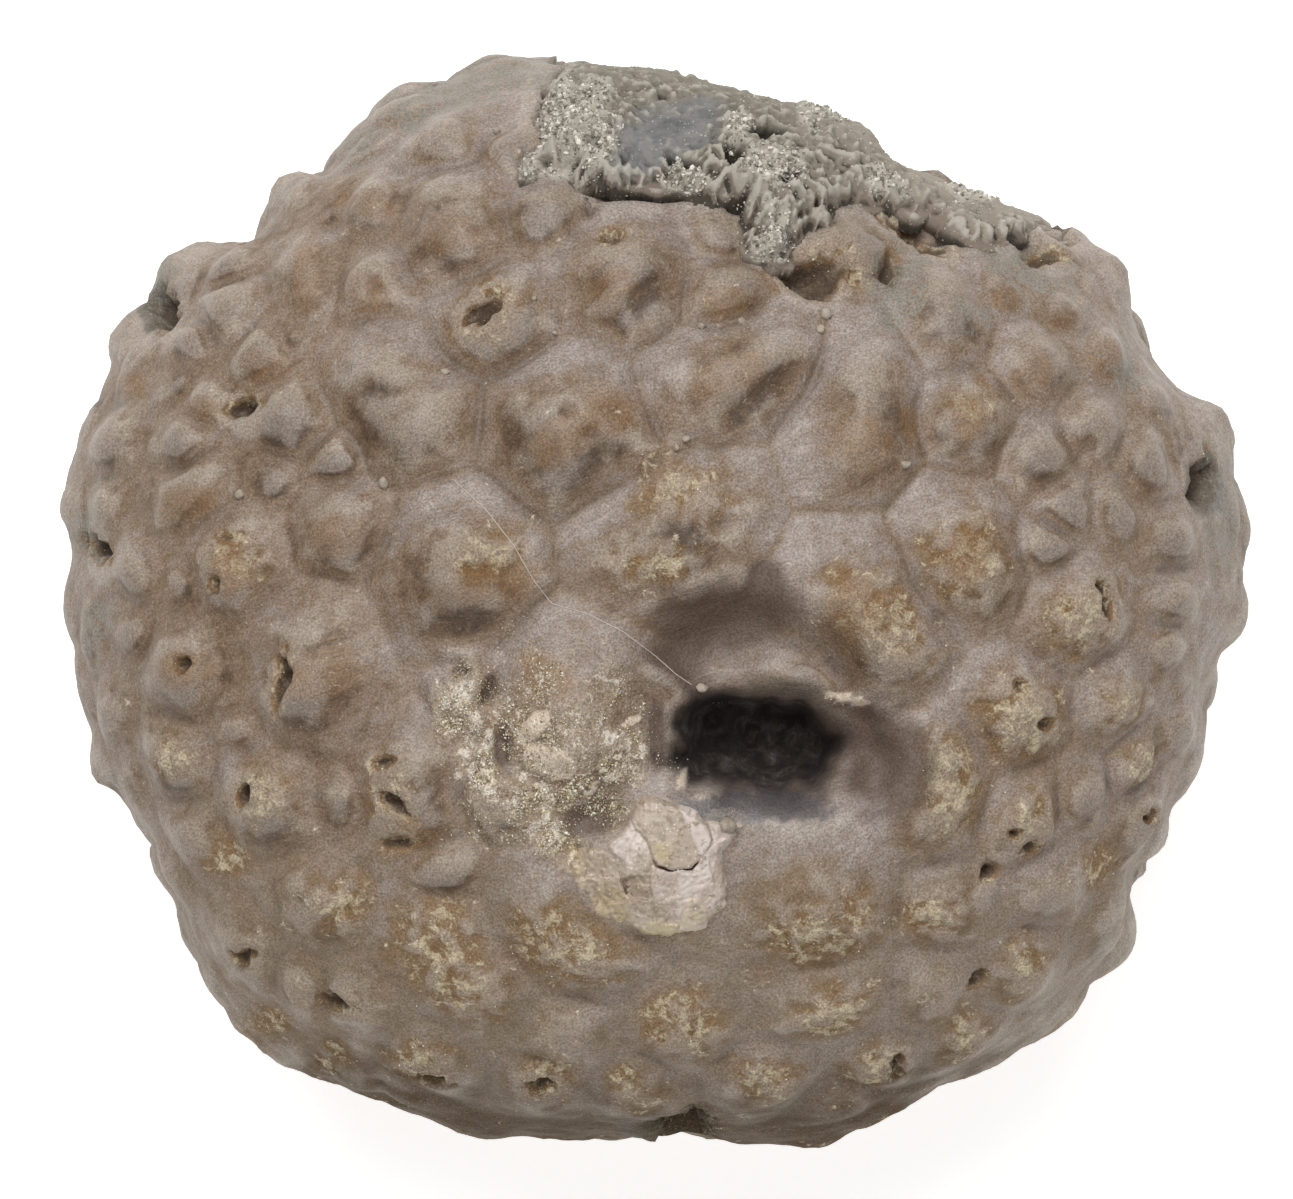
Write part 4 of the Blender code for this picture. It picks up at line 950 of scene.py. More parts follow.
skin_tree = BVHTree.FromPolygons((skin * MM).tolist(), net_faces.tolist())
west, east, columns, south, north, rows = SNAPPED_SPAN
across, along = np.meshgrid(np.linspace(west, east, columns), np.linspace(south, north, rows))
ground = np.array([landing(skin_tree, x, y)[0] for x, y in zip(across.ravel(), along.ravel())])
patch = square_faces(rows, columns)
rise, white, yellow, crack = snapped_relief(ground)
ground[:, 2] += rise
shown = (rise > 0.01 - SNAPPED_TUCK)[patch].any(axis=1)
used, packed = np.unique(patch[shown], return_inverse=True)
snapped = make_piece("snapped_plate", ground[used], packed.reshape(-1, 4), {
    "white": white[used], "yellow": yellow[used], "crack": crack[used],
})
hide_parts("calyx")
print("snapped plate:", shown.sum() * 2, "triangles")

# %% [markdown]
# ## The crust of host rock
# This is the lime mud that buried the animal, now a grey limestone, split off roughly by a hammer.
# It is a thin slab that follows the calyx, broken into ledges and crevices on top.
# One could carve it from a block. Growing it from the same plan keeps it exactly on its bed.

# %% The rock's own net
ROCK_TURNS = (38.0, 112.0, 300)  # degrees round the calyx: from, to, steps
ROCK_TILTS = (-17.0, 43.0, 210)  # degrees over the widest line: from, to, steps


def patch_net(turns, tilts):
    """Directions over a patch of the ball, and the four-sided faces between them."""
    turn, tilt = np.meshgrid(np.radians(np.linspace(*turns)), np.radians(np.linspace(*tilts)))
    flat = np.cos(tilt)
    spread = np.stack([flat * np.cos(turn), flat * np.sin(turn), np.sin(tilt)], axis=-1)
    return spread.reshape(-1, 3), square_faces(*turn.shape)


rock_directions, rock_faces = patch_net(ROCK_TURNS, ROCK_TILTS)
rock_body = smooth_body(rock_directions)
rock_out = outward(rock_body, rock_faces)
depth_in = inside_rock(rock_body)
print("rock net:", len(rock_body), "points")

# %% [markdown]
# ### Ledges, crevices and crystal heaps
# The broken surface has three sorts of ground: smooth slate where it split along its bedding,
# heaps of white calcite crystals, and rough ground between. Noise that is folded at zero gives
# sharp valleys, which read as broken stone, where plain noise would read as dough.

# %% The rock's surface
SLATE_SPLIT = [(0.7, 18.3, 2.5, 1.2, 22), (-0.9, 17.2, 1.3, 0.6, 20)]
CRYSTAL_HEAPS = [(-3.2, 18.6, 1.7, 1.5, 20), (-4.2, 16.8, 1.3, 0.9), (-2.2, 17.4, 0.8, 0.6, 40),
                 (4.4, 16.4, 1.6, 1.2), (4.6, 14.4, 0.8, 1.2), (3.2, 18.2, 0.6, 0.8), (6.6, 19.0, 1.0, 0.8),
                 (1.4, 16.7, 1.2, 0.4, -10), (9.0, 16.4, 1.2, 0.4, -15), (12.6, 16.2, 1.4, 0.5, -25)]
ROCK_RIM_THIN = 0.45  # how much thinner the slab is at the widest line
ROCK_TAPER = 1.0  # mm from the edge over which the slab rises
SMOOTHED_EAST = (7.5, 11.5)  # x in mm over which the rough broken face gives way to worn, lumpy rock
BROKEN_FACE = (0.26, 0.24, 0.18, 0.16)  # mm, from the coarse ledges to the crisp ridges
ROCK_LUMPS = [  # x, y, half length, half width, mm up
    (-3.2, 18.6, 1.6, 1.4, 0.5), (4.4, 15.8, 1.5, 1.5, 0.6), (1.6, 17.6, 1.5, 0.8, -0.35),
]
ROCK_LIP = 0.35  # mm, how deep the slab's edge ends under its smooth top


def rock_top(points, depth_in):
    """Height of the broken face over the smooth body, and the masks its finish needs."""
    folded = 1 - np.abs(waves(points, 1.5, 21)) * 1.6
    finer = 1 - np.abs(waves(points, 0.7, 22)) * 1.6
    finest = waves(points, 0.35, 23)
    edge = 0.25 * waves(points, 1.0, 24) + 0.12 * finest
    slate = spots(points, SLATE_SPLIT, edge, 0.4, 1.3)
    heap = spots(points, CRYSTAL_HEAPS, 1.2 * edge, 0.4, 1.3)
    calm = 1 - 0.75 * fade(-points[:, 0], -SMOOTHED_EAST[1], -SMOOTHED_EAST[0])
    calm *= 1 - 0.5 * fade(points[:, 2], 3.0, 8.0)
    crisp = 1 - np.abs(waves(points, 0.28, 26)) * 1.6
    top = sum(share * shape for share, shape in zip(BROKEN_FACE, (folded, finer, finest, crisp)))
    top *= (1 - 0.75 * slate) * calm
    top += 0.03 * crisp * (1 - calm) + 0.05 * slate * waves(points * (0.3, 1.0, 1.0), 0.5, 27)
    top += ROCK_STANDS * (0.3 + 0.7 * calm) + 0.3 * (1 - calm) * waves(points, 2.2, 25)
    top += heap * (0.25 * finer + 0.25 * np.abs(finest))
    for *lump, up in ROCK_LUMPS:
        top += up * np.exp(-(ellipse_share(points[:, 0], points[:, 1], *lump) ** 2))
    gaps = crevices(points)
    top = top * (1 - ROCK_RIM_THIN * np.exp(-((points[:, 2] / 3.0) ** 2)))
    frayed = depth_in - 0.45 * np.abs(waves(points, 0.55, 29)) - 0.3 * np.abs(finest)
    taper = np.clip(frayed / (ROCK_TAPER * (1.2 + waves(points, 1.8, 28))), 0, 1)
    top = (top + ROCK_LIP) * (1 - (1 - taper) ** 2) - ROCK_LIP - gaps
    return np.maximum(top, -ROCK_BED + 0.05), slate, heap, gaps


def largest_patch(faces, count):
    """The faces of the largest patch that hangs together."""
    label = np.arange(count)
    while True:
        lowest = label.copy()
        np.minimum.at(lowest, faces.ravel(), np.repeat(label[faces].min(axis=1), faces.shape[1]))
        if (lowest == label).all():
            break
        label = lowest
    patch = label[faces[:, 0]]
    return faces[patch == np.bincount(patch).argmax()]


# %% Keep one slab
kept = largest_patch(rock_faces[(depth_in[rock_faces] > 0).all(axis=1)], len(rock_body))
used = np.unique(kept)
place = np.full(len(rock_body), -1)
place[used] = np.arange(len(used))
kept = place[kept]
rock_body, rock_out, depth_in = rock_body[used], rock_out[used], depth_in[used]
top, slate, heaped, crevice = rock_top(rock_body, depth_in)
print("rock stands, mm:", top.min(), top.max())

# %% [markdown]
# ### Closing the slab
# A mesh that is to be printed or weighed has to be closed, so the broken face gets a back, a little
# inside the bed, and a strip of faces joins the two all round their border.

# %% Make the rock
BACK_DEPTH = ROCK_BED + 0.12


def closed_slab(front, back, faces):
    """Front and back of the same net, joined by a wall along every border edge."""
    sides = sides_of(faces)
    _, where, times = np.unique(np.sort(sides, 1), axis=0, return_index=True, return_counts=True)
    border = sides[where[times == 1]]
    count = len(front)
    wall = np.stack([border[:, 1], border[:, 0], border[:, 0] + count, border[:, 1] + count], axis=1)
    return np.concatenate([front, back]), np.concatenate([faces, faces[:, ::-1] + count, wall])


rock_front = rock_body + rock_out * top[:, None]
rock_back = rock_body - rock_out * BACK_DEPTH
rock_crest = ((rock_front - relaxed(rock_front, kept, 10)) * rock_out).sum(axis=1)
rock_points, rock_skin = closed_slab(rock_front, rock_back, kept)
rock_points[:, 2] += TABLE_DEPTH
rock_points = np.clip(rock_points, *MATRIX_BOX)
rock = make_piece("host_rock_crust", rock_points, rock_skin, {
    label: np.concatenate([numbers, numbers * 0])
    for label, numbers in (("slate", slate), ("heap", heaped), ("crevice", crevice),
                           ("crest_mm", rock_crest), ("height_mm", rock_body[:, 2]),
                           ("east_mm", rock_body[:, 0]), ("edge_mm", depth_in))
})
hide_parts("matrix")
print("rock:", len(rock_skin) * 2, "triangles")

# %% [markdown]
# ## Loose grains and a thread of lint
# A few sand grains sit in the sutures, and a pale thread lies across the lid towards the vent.
# They are dirt, but dirt is what makes a surface look found and not made, so they are modelled.
# Each is dropped onto the finished skin by a ray from above, so it truly touches.

# %% Where they lie
SAND_GRAINS = [  # x, y, radius
    (3.5, 11.0, 0.13), (1.9, 10.8, 0.16), (-3.9, 10.6, 0.12), (-8.2, 9.0, 0.14), (-10.6, 4.7, 0.2),
    (-16.3, 4.2, 0.2), (1.3, 6.4, 0.17), (0.9, 6.1, 0.14), (6.8, 11.3, 0.2), (6.6, 10.7, 0.15),
    (9.9, 5.4, 0.2), (-6.2, 18.6, 0.15), (1.9, -3.4, 0.2), (2.9, -8.8, 0.3), (-4.7, 11.9, 0.12),
]
LINT = [(-7.9, 4.8), (-6.6, 3.6), (-5.5, 2.2), (-4.7, 0.8), (-4.0, -0.1), (-2.6, -0.5),
        (-1.2, -1.2), (0.0, -2.1), (0.9, -2.9), (1.5, -3.3)]
LINT_RADIUS = 0.022
LINT_STEPS = 90
GRAIN_SEED = 5
GRAIN_STRETCH = (0.75, 1.25)
GRAIN_LIFT = 0.45  # of its radius: a grain sits with over a quarter of its height in the skin
print(len(SAND_GRAINS), "grains and", len(LINT), "points of thread")


# %% Make the grains
def sand_grains(tree):
    """All grains as one mesh: small balls, each pushed out of round by noise."""
    chance = np.random.default_rng(GRAIN_SEED)
    ball = bmesh.new()
    bmesh.ops.create_icosphere(ball, subdivisions=3, radius=1.0)
    unit, faces = arrays_of(ball)
    points, all_faces = [], []
    for number, (x, y, radius) in enumerate(SAND_GRAINS):
        spot, normal = landing(tree, x, y)
        stretch = chance.uniform(*GRAIN_STRETCH, 3)
        shape = unit * stretch * (1 + 0.22 * waves(unit, 0.9, 30 + number))[:, None]
        points.append(spot + normal * radius * GRAIN_LIFT + shape * radius)
        all_faces.append(faces + number * len(unit))
    return make_piece("sand_grains", np.concatenate(points), np.concatenate(all_faces))


# %% Make the thread
def lint_thread(tree):
    """A round thread laid on the skin along its route: a curve with a bevel, kept as a mesh."""
    route = np.array(LINT)
    along = np.linspace(0, len(route) - 1, LINT_STEPS)
    x, y = (np.interp(along, np.arange(len(route)), route[:, axis]) for axis in (0, 1))
    curve = bpy.data.curves.new("lint_route", "CURVE")
    curve.dimensions = "3D"
    curve.bevel_depth = LINT_RADIUS * MM
    curve.bevel_resolution = 2
    curve.use_fill_caps = True
    line = curve.splines.new("POLY")
    line.points.add(len(along) - 1)
    for knot, place_x, place_y in zip(line.points, x, y):
        spot, normal = landing(tree, place_x, place_y)
        knot.co = (*((spot + normal * LINT_RADIUS * 0.8) * MM), 1.0)
    route_object = bpy.data.objects.new("lint_route", curve)
    mesh = bpy.data.meshes.new_from_object(route_object)
    bpy.data.objects.remove(route_object)
    thread = bpy.data.objects.new("lint_thread", mesh)
    bpy.context.collection.objects.link(thread)
    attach(thread, "root")
    return thread


grains_piece = sand_grains(skin_tree)
lint = lint_thread(skin_tree)
print("dropped", len(SAND_GRAINS), "grains and one thread")

# %% [markdown]
# ### Calcite sugar
# Where the skin has gone, the stone crumbles into tiny angular grains that a fingertip would feel
# as sugar. On the crust beside the vent they lie thick, on the bare plates thinly, and on the rock
# they are larger crystals. A bump map would only shade like grains. Real ones, each with twenty
# faces, catch light and drop shade. They are strewn by chance, thickest where the mask is high.

# %% Strew the crumbs
CRUMB_SEED = 17
LID_CRUMBS = (9000, 0.02, 0.075)  # how many, smallest and largest radius in mm
ROCK_CRUMBS = (9000, 0.02, 0.11)
CRUMB_STRETCH = (0.5, 1.5)
CRUMB_CORNERS = (0.75, 1.2)  # how far each corner is pushed in or out
CRUMB_LIFT = 0.35  # of its radius


def crumbs(name, points, faces, likely, amount):
    """Small angular grains strewn over a skin, thickest where `likely` is high."""
    count, smallest, largest = amount
    chance = np.random.default_rng(CRUMB_SEED)
    corners = points[faces]
    facing = np.cross(corners[:, 2] - corners[:, 0], corners[:, 3] - corners[:, 1])
    area = np.linalg.norm(facing, axis=1)
    weight = area * likely[faces].mean(axis=1)
    chosen = chance.choice(len(faces), count, p=weight / weight.sum())
    across, along = chance.uniform(size=(2, count, 1))
    one, two, three, four = corners[chosen].transpose(1, 0, 2)
    near_side, far_side = one + (two - one) * across, four + (three - four) * across
    spot = near_side + (far_side - near_side) * along
    radius = smallest + (largest - smallest) * chance.uniform(size=count) ** 3
    radius *= 0.5 + 0.5 * likely[faces].mean(axis=1)[chosen]
    ball = bmesh.new()
    bmesh.ops.create_icosphere(ball, subdivisions=1, radius=1.0)
    unit, sides = arrays_of(ball)
    shape = unit * chance.uniform(*CRUMB_STRETCH, (count, 1, 3))
    shape = shape * chance.uniform(*CRUMB_CORNERS, (count, len(unit), 1))
    lift = facing[chosen] / area[chosen][:, None] * radius[:, None] * CRUMB_LIFT
    strewn = (spot + lift)[:, None] + shape * radius[:, None, None]
    skins = sides[None] + (np.arange(count) * len(unit))[:, None, None]
    tone = np.repeat(chance.uniform(size=count), len(unit))
    return make_piece(name, strewn.reshape(-1, 3), skins.reshape(-1, 3), {"tone": tone})


clumped = fade(-waves(skin, 0.9, 50) - 0.6 * waves(skin, 0.4, 51), -0.35, 0.45)
sugary = np.clip(crust + 0.1 * rough * (grains > 0.25) + 0.2 * pink, 0, 1) ** 1.3
sugary *= (0.12 + 0.88 * clumped) * (1 - broken)
sugary *= (skin[:, 2] > TABLE_DEPTH) * (skin[:, 2] < CALYX_BOX[1][2] - LID_CRUMBS[2])
lid_crumbs = crumbs("calcite_crumbs", skin, net_faces, sugary, LID_CRUMBS)
broken_face = rock_front + (0, 0, TABLE_DEPTH)
rock_crumbs = crumbs("rock_crystals", broken_face, kept, heaped**1.5 + 0.02, ROCK_CRUMBS)
rock_crumbs.data.shade_flat()
print("crumbs:", len(lid_crumbs.data.polygons) + len(rock_crumbs.data.polygons), "triangles")

# %% [markdown]
# ## Finishes
# Each material is the real mineral: a base tone, then thin layers of tone where the mesh's values
# say so, broken up by noise at the size of the real grain. The colours are ordinary screen colours,
# written as hex, and one function turns them into the linear light that the renderer works in.

# %% Colours and nodes
def linear(code):
    """An sRGB hex colour as linear red, green, blue and alpha."""
    parts = [int(code[place:place + 2], 16) / 255 for place in (1, 3, 5)]
    return (*[part / 12.92 if part < 0.04045 else ((part + 0.055) / 1.055) ** 2.4 for part in parts], 1.0)


def add(tree, kind, inputs=(), stops=(), **settings):
    """Adds one shader node. An input that is a socket is linked, and any other value is set.

    Stops are for a node with a ramp: each is a place from 0 to 1 and a hex tone."""
    node = tree.nodes.new("ShaderNode" + kind)
    for label, value in settings.items():
        setattr(node, label, value)
    for place, value in dict(inputs).items():
        if isinstance(value, bpy.types.NodeSocket):
            tree.links.new(value, node.inputs[place])
        else:
            node.inputs[place].default_value = value
    for _ in stops[2:]:
        node.color_ramp.elements.new(1.0)
    for number, (place, tone) in enumerate(stops):
        element = node.color_ramp.elements[number]
        element.position, element.color = place, linear(tone)
    return node


print("linear mid grey:", linear("#808080"))

# %% [markdown]
# ### What all the stones share
# Every stone here is drawn in the same three ways. Noise at a few real sizes stands for cloudiness,
# mottling and grain, and is drawn out along the stain's direction where it runs in streaks.
# A layer is a tone laid where a painted value is high, stirred with noise to make its border ragged.
# And dust is a scatter of dots, which grow and run together where there is more of it.

# %% A material and its values
STREAK_TURN = math.radians(25)  # the stain runs in streaks that rise to the right


def new_material(name, roughness, ior, painted=(), noises=()):
    """A material with its tree, its shader, and by name the values that its pattern can use.

    `painted` names values that the mesh carries. A row of `noises` is a name, mm between crests,
    how many finer layers, how strong they are, swirl, and how many times longer than wide it is."""
    material = bpy.data.materials.new(name)
    material.use_nodes = True
    tree = material.node_tree
    shader = tree.nodes["Principled BSDF"]
    shader.inputs["Roughness"].default_value = roughness
    shader.inputs["IOR"].default_value = ior
    place = add(tree, "TexCoord").outputs["Object"]
    in_mm = add(tree, "VectorMath", {0: place, "Scale": 1 / MM}, operation="SCALE").outputs[0]
    values = {label: add(tree, "Attribute", attribute_name=label).outputs["Fac"] for label in painted}
    for label, size, layers, harsh, swirl, *longer in noises:
        where = in_mm
        if longer:
            drawn = {"Vector": in_mm, "Rotation": (0.0, 0.0, STREAK_TURN), "Scale": (*longer, 1.0, 1.0)}
            where = add(tree, "Mapping", drawn, vector_type="TEXTURE").outputs[0]
        values[label] = add(tree, "TexNoise", {
            "Vector": where, "Scale": 1 / size, "Detail": layers, "Roughness": harsh, "Distortion": swirl,
        }).outputs["Fac"]
    return material, tree, shader, in_mm, values


# %% Layers of tone, and dots
def layered(tree, values, colour, rows):
    """Lays tones over one another. A row is a mask and its tone, or what makes the mask and its tone.

    The mask is made from a value, the noise to stir in, how much of it, where the mask starts,
    where it is full, and its most."""
    for *how, tone in rows:
        mask = how[0]
        if len(how) > 1:
            value, noisy, weight, start, full, most = how
            stirred = {0: values[noisy], 1: weight, 2: values[value]}
            stirred = add(tree, "Math", stirred, operation="MULTIPLY_ADD").outputs[0]
            mask = add(tree, "MapRange", {0: stirred, 1: start, 2: full, 4: most},
                       interpolation_type="SMOOTHSTEP").outputs[0]
        mixed = {0: mask, 6: colour, 7: linear(tone) if isinstance(tone, str) else tone}
        colour = add(tree, "Mix", mixed, data_type="RGBA").outputs[2]
    return colour


def dots(tree, in_mm, size, amount):
    """Dots on a net of about `size` mm. Where amount is 1 they run together, near 0 few are left."""
    cells = add(tree, "TexVoronoi", {"Vector": in_mm, "Scale": 1 / size}).outputs
    luck = add(tree, "SeparateColor", {0: cells["Color"]}).outputs[0]
    reach = add(tree, "Math", {0: luck, 1: amount}, operation="MULTIPLY").outputs[0]
    inside = add(tree, "Math", {0: reach, 1: cells["Distance"]}, operation="SUBTRACT").outputs[0]
    return add(tree, "MapRange", {0: inside, 1: 0.0, 2: 0.12}).outputs[0]


# %% [markdown]
# ### Weathered calcite
# Calcite is a soft, glassy mineral. Fresh it is clear or milky, and as a fossil it is stained by iron
# and clay: brown in the worn middles, and mauve-grey on the aprons, where a thin waxy film lies over
# it. So the skin is one run of tones from brown to mauve. The stain and the apron say where along it
# each place lies, and so do the swell of the surface and how far it faces the light, which are
# painted light and shade. Ochre and cream come on top, then the vent's dark fill and painted shade.
# Its refractive index is about 1.6. The waxy aprons are a little glossy and the bare grains dull.

# %% Tones of the calcite
CALCITE_IOR = 1.6
SKIN_TONES = ((0.1, "#503D2A"), (0.26, "#6C5640"), (0.4, "#7E6952"), (0.53, "#897664"), (0.66, "#8F8075"),
              (0.84, "#A0948D"))
SKIN_START = -0.475  # where along the tones a place lies before the weights below are added
# The tone is raised where the surface faces the light and on broad swells, and lowered along the middle of
# the sutures: painted light and shade.
SKIN_WEIGHTS = {"cloud": 0.5, "mottle": 0.55, "streak": 0.7, "grain": 0.4, "light_facing": 0.3, "stain": -0.42,
                "swell_mm": 0.05, "apron": 0.1, "line": -0.3}
# Tones of the vent's dark fill and of its painted shade.
VENT_FILL_AND_SHADE_TONES = ((0.35, "#1C1513"), (0.48, "#30251F"), (0.58, "#4C423D"), (0.7, "#696568"))
DUST_TONES = ((0.3, "#4C4C4C"), (0.7, "#EAEAEA"))
DUST_SHARE = 0.42
WAXY, DULL = 0.55, 0.92  # roughness
print(len(SKIN_TONES), "tones of skin")


# %% The calcite of the plates
def weathered_calcite():
    """The stained skin of the plates."""
    material, tree, shader, in_mm, values = new_material(
        "weathered_calcite", WAXY, CALCITE_IOR,
        painted=("line", "apron", "crest_mm", "swell_mm", "stain", "light_facing", "film", "under", "warm", "rough",
                 "crust", "pink", "soot", "brown", "silt", "gold", "slaty", "dusted", "pit"),
        noises=(("cloud", 4.0, 3, 0.5, 0.0), ("mottle", 1.4, 4, 0.68, 0.3), ("grain", 0.36, 3, 0.6, 0.0),
                ("sugar", 0.55, 4, 0.72, 0.4), ("dust", 0.09, 1, 0.6, 0.0),
                ("streak", 1.0, 4, 0.68, 0.8, 2.6)))
    tone = SKIN_START
    for label, weight in SKIN_WEIGHTS.items():
        weighed = {0: values[label], 1: weight, 2: tone}
        tone = add(tree, "Math", weighed, operation="MULTIPLY_ADD").outputs[0]
    colour = add(tree, "ValToRGB", {0: tone}, SKIN_TONES).outputs[0]
    colour = layered(tree, values, colour, (
        ("film", "mottle", 1.0, 0.5, 1.6, 0.5, "#79684F"),
        ("rough", "mottle", 1.6, 0.85, 1.7, 0.7, "#84663F"),
        # Paler on crests: painted light.
        ("crest_mm", "grain", 0.05, 0.04, 0.13, 0.45, "#B3A79A"),
        # Darker towards the lower edge: painted shade.
        ("under", "mottle", 1.2, 0.5, 1.7, 0.85, "#50402C"),
        # Darker in hollows: painted shade.
        ("crest_mm", "grain", -0.05, -0.08, -0.24, 0.5, "#544438"),
        ("rough", "sugar", 4.0, 2.75, 3.4, 0.8, "#C2B598"),
        ("crust", "grain", 1.0, 0.6, 1.3, 0.8, "#A3917B"),
        ("warm", "streak", 1.6, 0.95, 2.0, 0.5, "#85633C"),
        ("gold", "grain", 2.0, 1.4, 2.1, 0.75, "#5E4C33"),
        ("gold", "sugar", 3.8, 2.55, 3.1, 0.8, "#B9A573"),
        ("crust", "sugar", 4.2, 2.85, 3.4, 0.9, "#DFD7C9"),
        # Pale pink calcite, and on the ridge over the vent a painted highlight.
        ("pink", "sugar", 2.0, 1.2, 1.8, 0.92, "#D9C9B5"),
        # Darker in the deep pits at the rim: painted shade.
        ("silt", "mottle", 0.6, 0.6, 1.1, 0.9, "#5E5649"),
        ("dusted", "grain", 3.0, 1.9, 2.6, 0.75, "#7F7A6E"),
        # Darker in pits: painted shade.
        ("pit", "grain", 0.4, 0.6, 1.3, 0.85, "#463628"),
    ))
    thin = add(tree, "Math", {0: values["crust"], 1: 1.0, 2: 0.4}, operation="MULTIPLY_ADD").outputs[0]
    powdery = add(tree, "Math", {0: values["cloud"], 1: thin}, operation="MULTIPLY").outputs[0]
    fill_and_shade_tone = add(tree, "ValToRGB", {0: values["mottle"]}, VENT_FILL_AND_SHADE_TONES).outputs[0]
    colour = layered(tree, values, colour, (
        (dots(tree, in_mm, 0.13, powdery), "#B3A89C"),
        (dots(tree, in_mm, 0.4, 0.1), "#D2CABE"),
        # Brown on the vent's walls: partly their colour, partly painted shade.
        ("brown", "mottle", 0.9, 0.4, 1.4, 0.85, "#5B493D"),
        ("slaty", "grain", 1.2, 0.8, 1.5, 0.8, "#5F5C5E"),
        # The vent's dark fill and painted shade.
        ("soot", "mottle", 0.5, 0.4, 1.1, 1.0, fill_and_shade_tone),
    ))
    dust = add(tree, "ValToRGB", {0: values["dust"]}, DUST_TONES).outputs[0]
    dusty = {0: DUST_SHARE, 6: colour, 7: dust}
    colour = add(tree, "Mix", dusty, data_type="RGBA", blend_type="OVERLAY").outputs[2]
    tree.links.new(colour, shader.inputs["Base Color"])
    bare = add(tree, "Math", {0: values["rough"], 1: values["crust"]}, operation="MAXIMUM").outputs[0]
    dull = add(tree, "Math", {0: bare, 1: values["soot"]}, operation="MAXIMUM").outputs[0]
    rough = add(tree, "MapRange", {0: dull, 3: WAXY, 4: DULL}).outputs[0]
    tree.links.new(rough, shader.inputs["Roughness"])
    gloss = add(tree, "MapRange", {0: values["under"], 3: 0.5, 4: 0.04}).outputs[0]
    tree.links.new(gloss, shader.inputs["Specular IOR Level"])
    wrinkled = {"Height": values["streak"], "Strength": 0.6, "Distance": 0.16 * MM}
    grainy = {"Height": values["sugar"], "Strength": bare, "Distance": 0.16 * MM,
              "Normal": add(tree, "Bump", wrinkled).outputs[0]}
    powder = {"Height": values["dust"], "Strength": 0.6, "Distance": 0.025 * MM,
              "Normal": add(tree, "Bump", grainy).outputs[0]}
    tree.links.new(add(tree, "Bump", powder).outputs[0], shader.inputs["Normal"])
    return material


calyx.data.materials.append(weathered_calcite())
print("calcite finished with", len(calyx.data.materials[0].node_tree.nodes), "nodes")

# %% [markdown]
# ### Fresh calcite
# The same mineral where it broke not long ago. It has no stain yet, so it is milky, from pinkish
# white to beige, with a little yellow where water got into the break. Cleavage faces are smoother
# and glossier than the weathered skin, and the crack is painted dark as shade.

# %% The calcite of the break
def fresh_calcite():
    """The pale stone of the snapped plate."""
    material, tree, shader, in_mm, values = new_material(
        "fresh_calcite", 0.42, CALCITE_IOR, painted=("white", "yellow", "crack"),
        noises=(("mottle", 0.9, 6, 0.6, 1.0), ("grain", 0.3, 5, 0.65, 0.0)))
    colour = layered(tree, values, linear("#94836F"), (
        ("mottle", "grain", 0.5, 0.6, 0.85, 0.8, "#B3A18F"),
        # Whiter where the break is clean, and on the wedge's facet and strip as a painted highlight.
        ("white", "grain", 1.6, 0.8, 1.9, 0.95, "#D6C9C0"),
        ("yellow", "grain", 2.2, 1.2, 2.1, 0.8, "#C3B281"),
        ("grain", "mottle", 0.6, 0.86, 1.0, 0.8, "#857257"),
        (dots(tree, in_mm, 0.14, 0.3), "#DDD3C6"),
        # Dark in the crack: painted shade.
        ("crack", "grain", 0.2, 0.3, 0.7, 0.95, "#4A3A28"),
    ))
    tree.links.new(colour, shader.inputs["Base Color"])
    bump = add(tree, "Bump", {"Height": values["grain"], "Strength": 0.5, "Distance": 0.08 * MM})
    tree.links.new(bump.outputs[0], shader.inputs["Normal"])
    return material


snapped.data.materials.append(fresh_calcite())
print("fresh calcite finished with", len(snapped.data.materials[0].node_tree.nodes), "nodes")

# %% [markdown]
# ### Loose calcite
# The crumbs are too small to show a pattern, so each has one tone of its own, from stained to clean.

# %% The calcite of the crumbs
LID_SUGAR = ((0.0, "#7D6B50"), (0.3, "#A6967A"), (0.6, "#C8BB9A"), (0.85, "#E0D8C6"), (1.0, "#F0ECE2"))
ROCK_SUGAR = ((0.0, "#6F695D"), (0.3, "#9B9589"), (0.7, "#C6C0B5"), (1.0, "#E9E4DA"))


def sugar(name, tones):
    """Loose grains, each with a tone of its own."""
    material, tree, shader, _, values = new_material(name, 0.6, CALCITE_IOR, painted=("tone",))
    own = add(tree, "ValToRGB", {0: values["tone"]}, tones).outputs[0]
    tree.links.new(own, shader.inputs["Base Color"])
    return material


lid_crumbs.data.materials.append(sugar("calcite_sugar", LID_SUGAR))
rock_crumbs.data.materials.append(sugar("calcite_crystals", ROCK_SUGAR))
print("crumbs have", len(LID_SUGAR), "tones on the lid and", len(ROCK_SUGAR), "on the rock")

# %% [markdown]
# ### Host limestone
# The host rock is a fine grey lime mudstone, dull and dry, and a little olive where it weathered
# outside. Its split face is a bluer slate grey. Its crevices are painted near black as shadow, and
# its crests paler and its hollows darker, as painted light and shade.

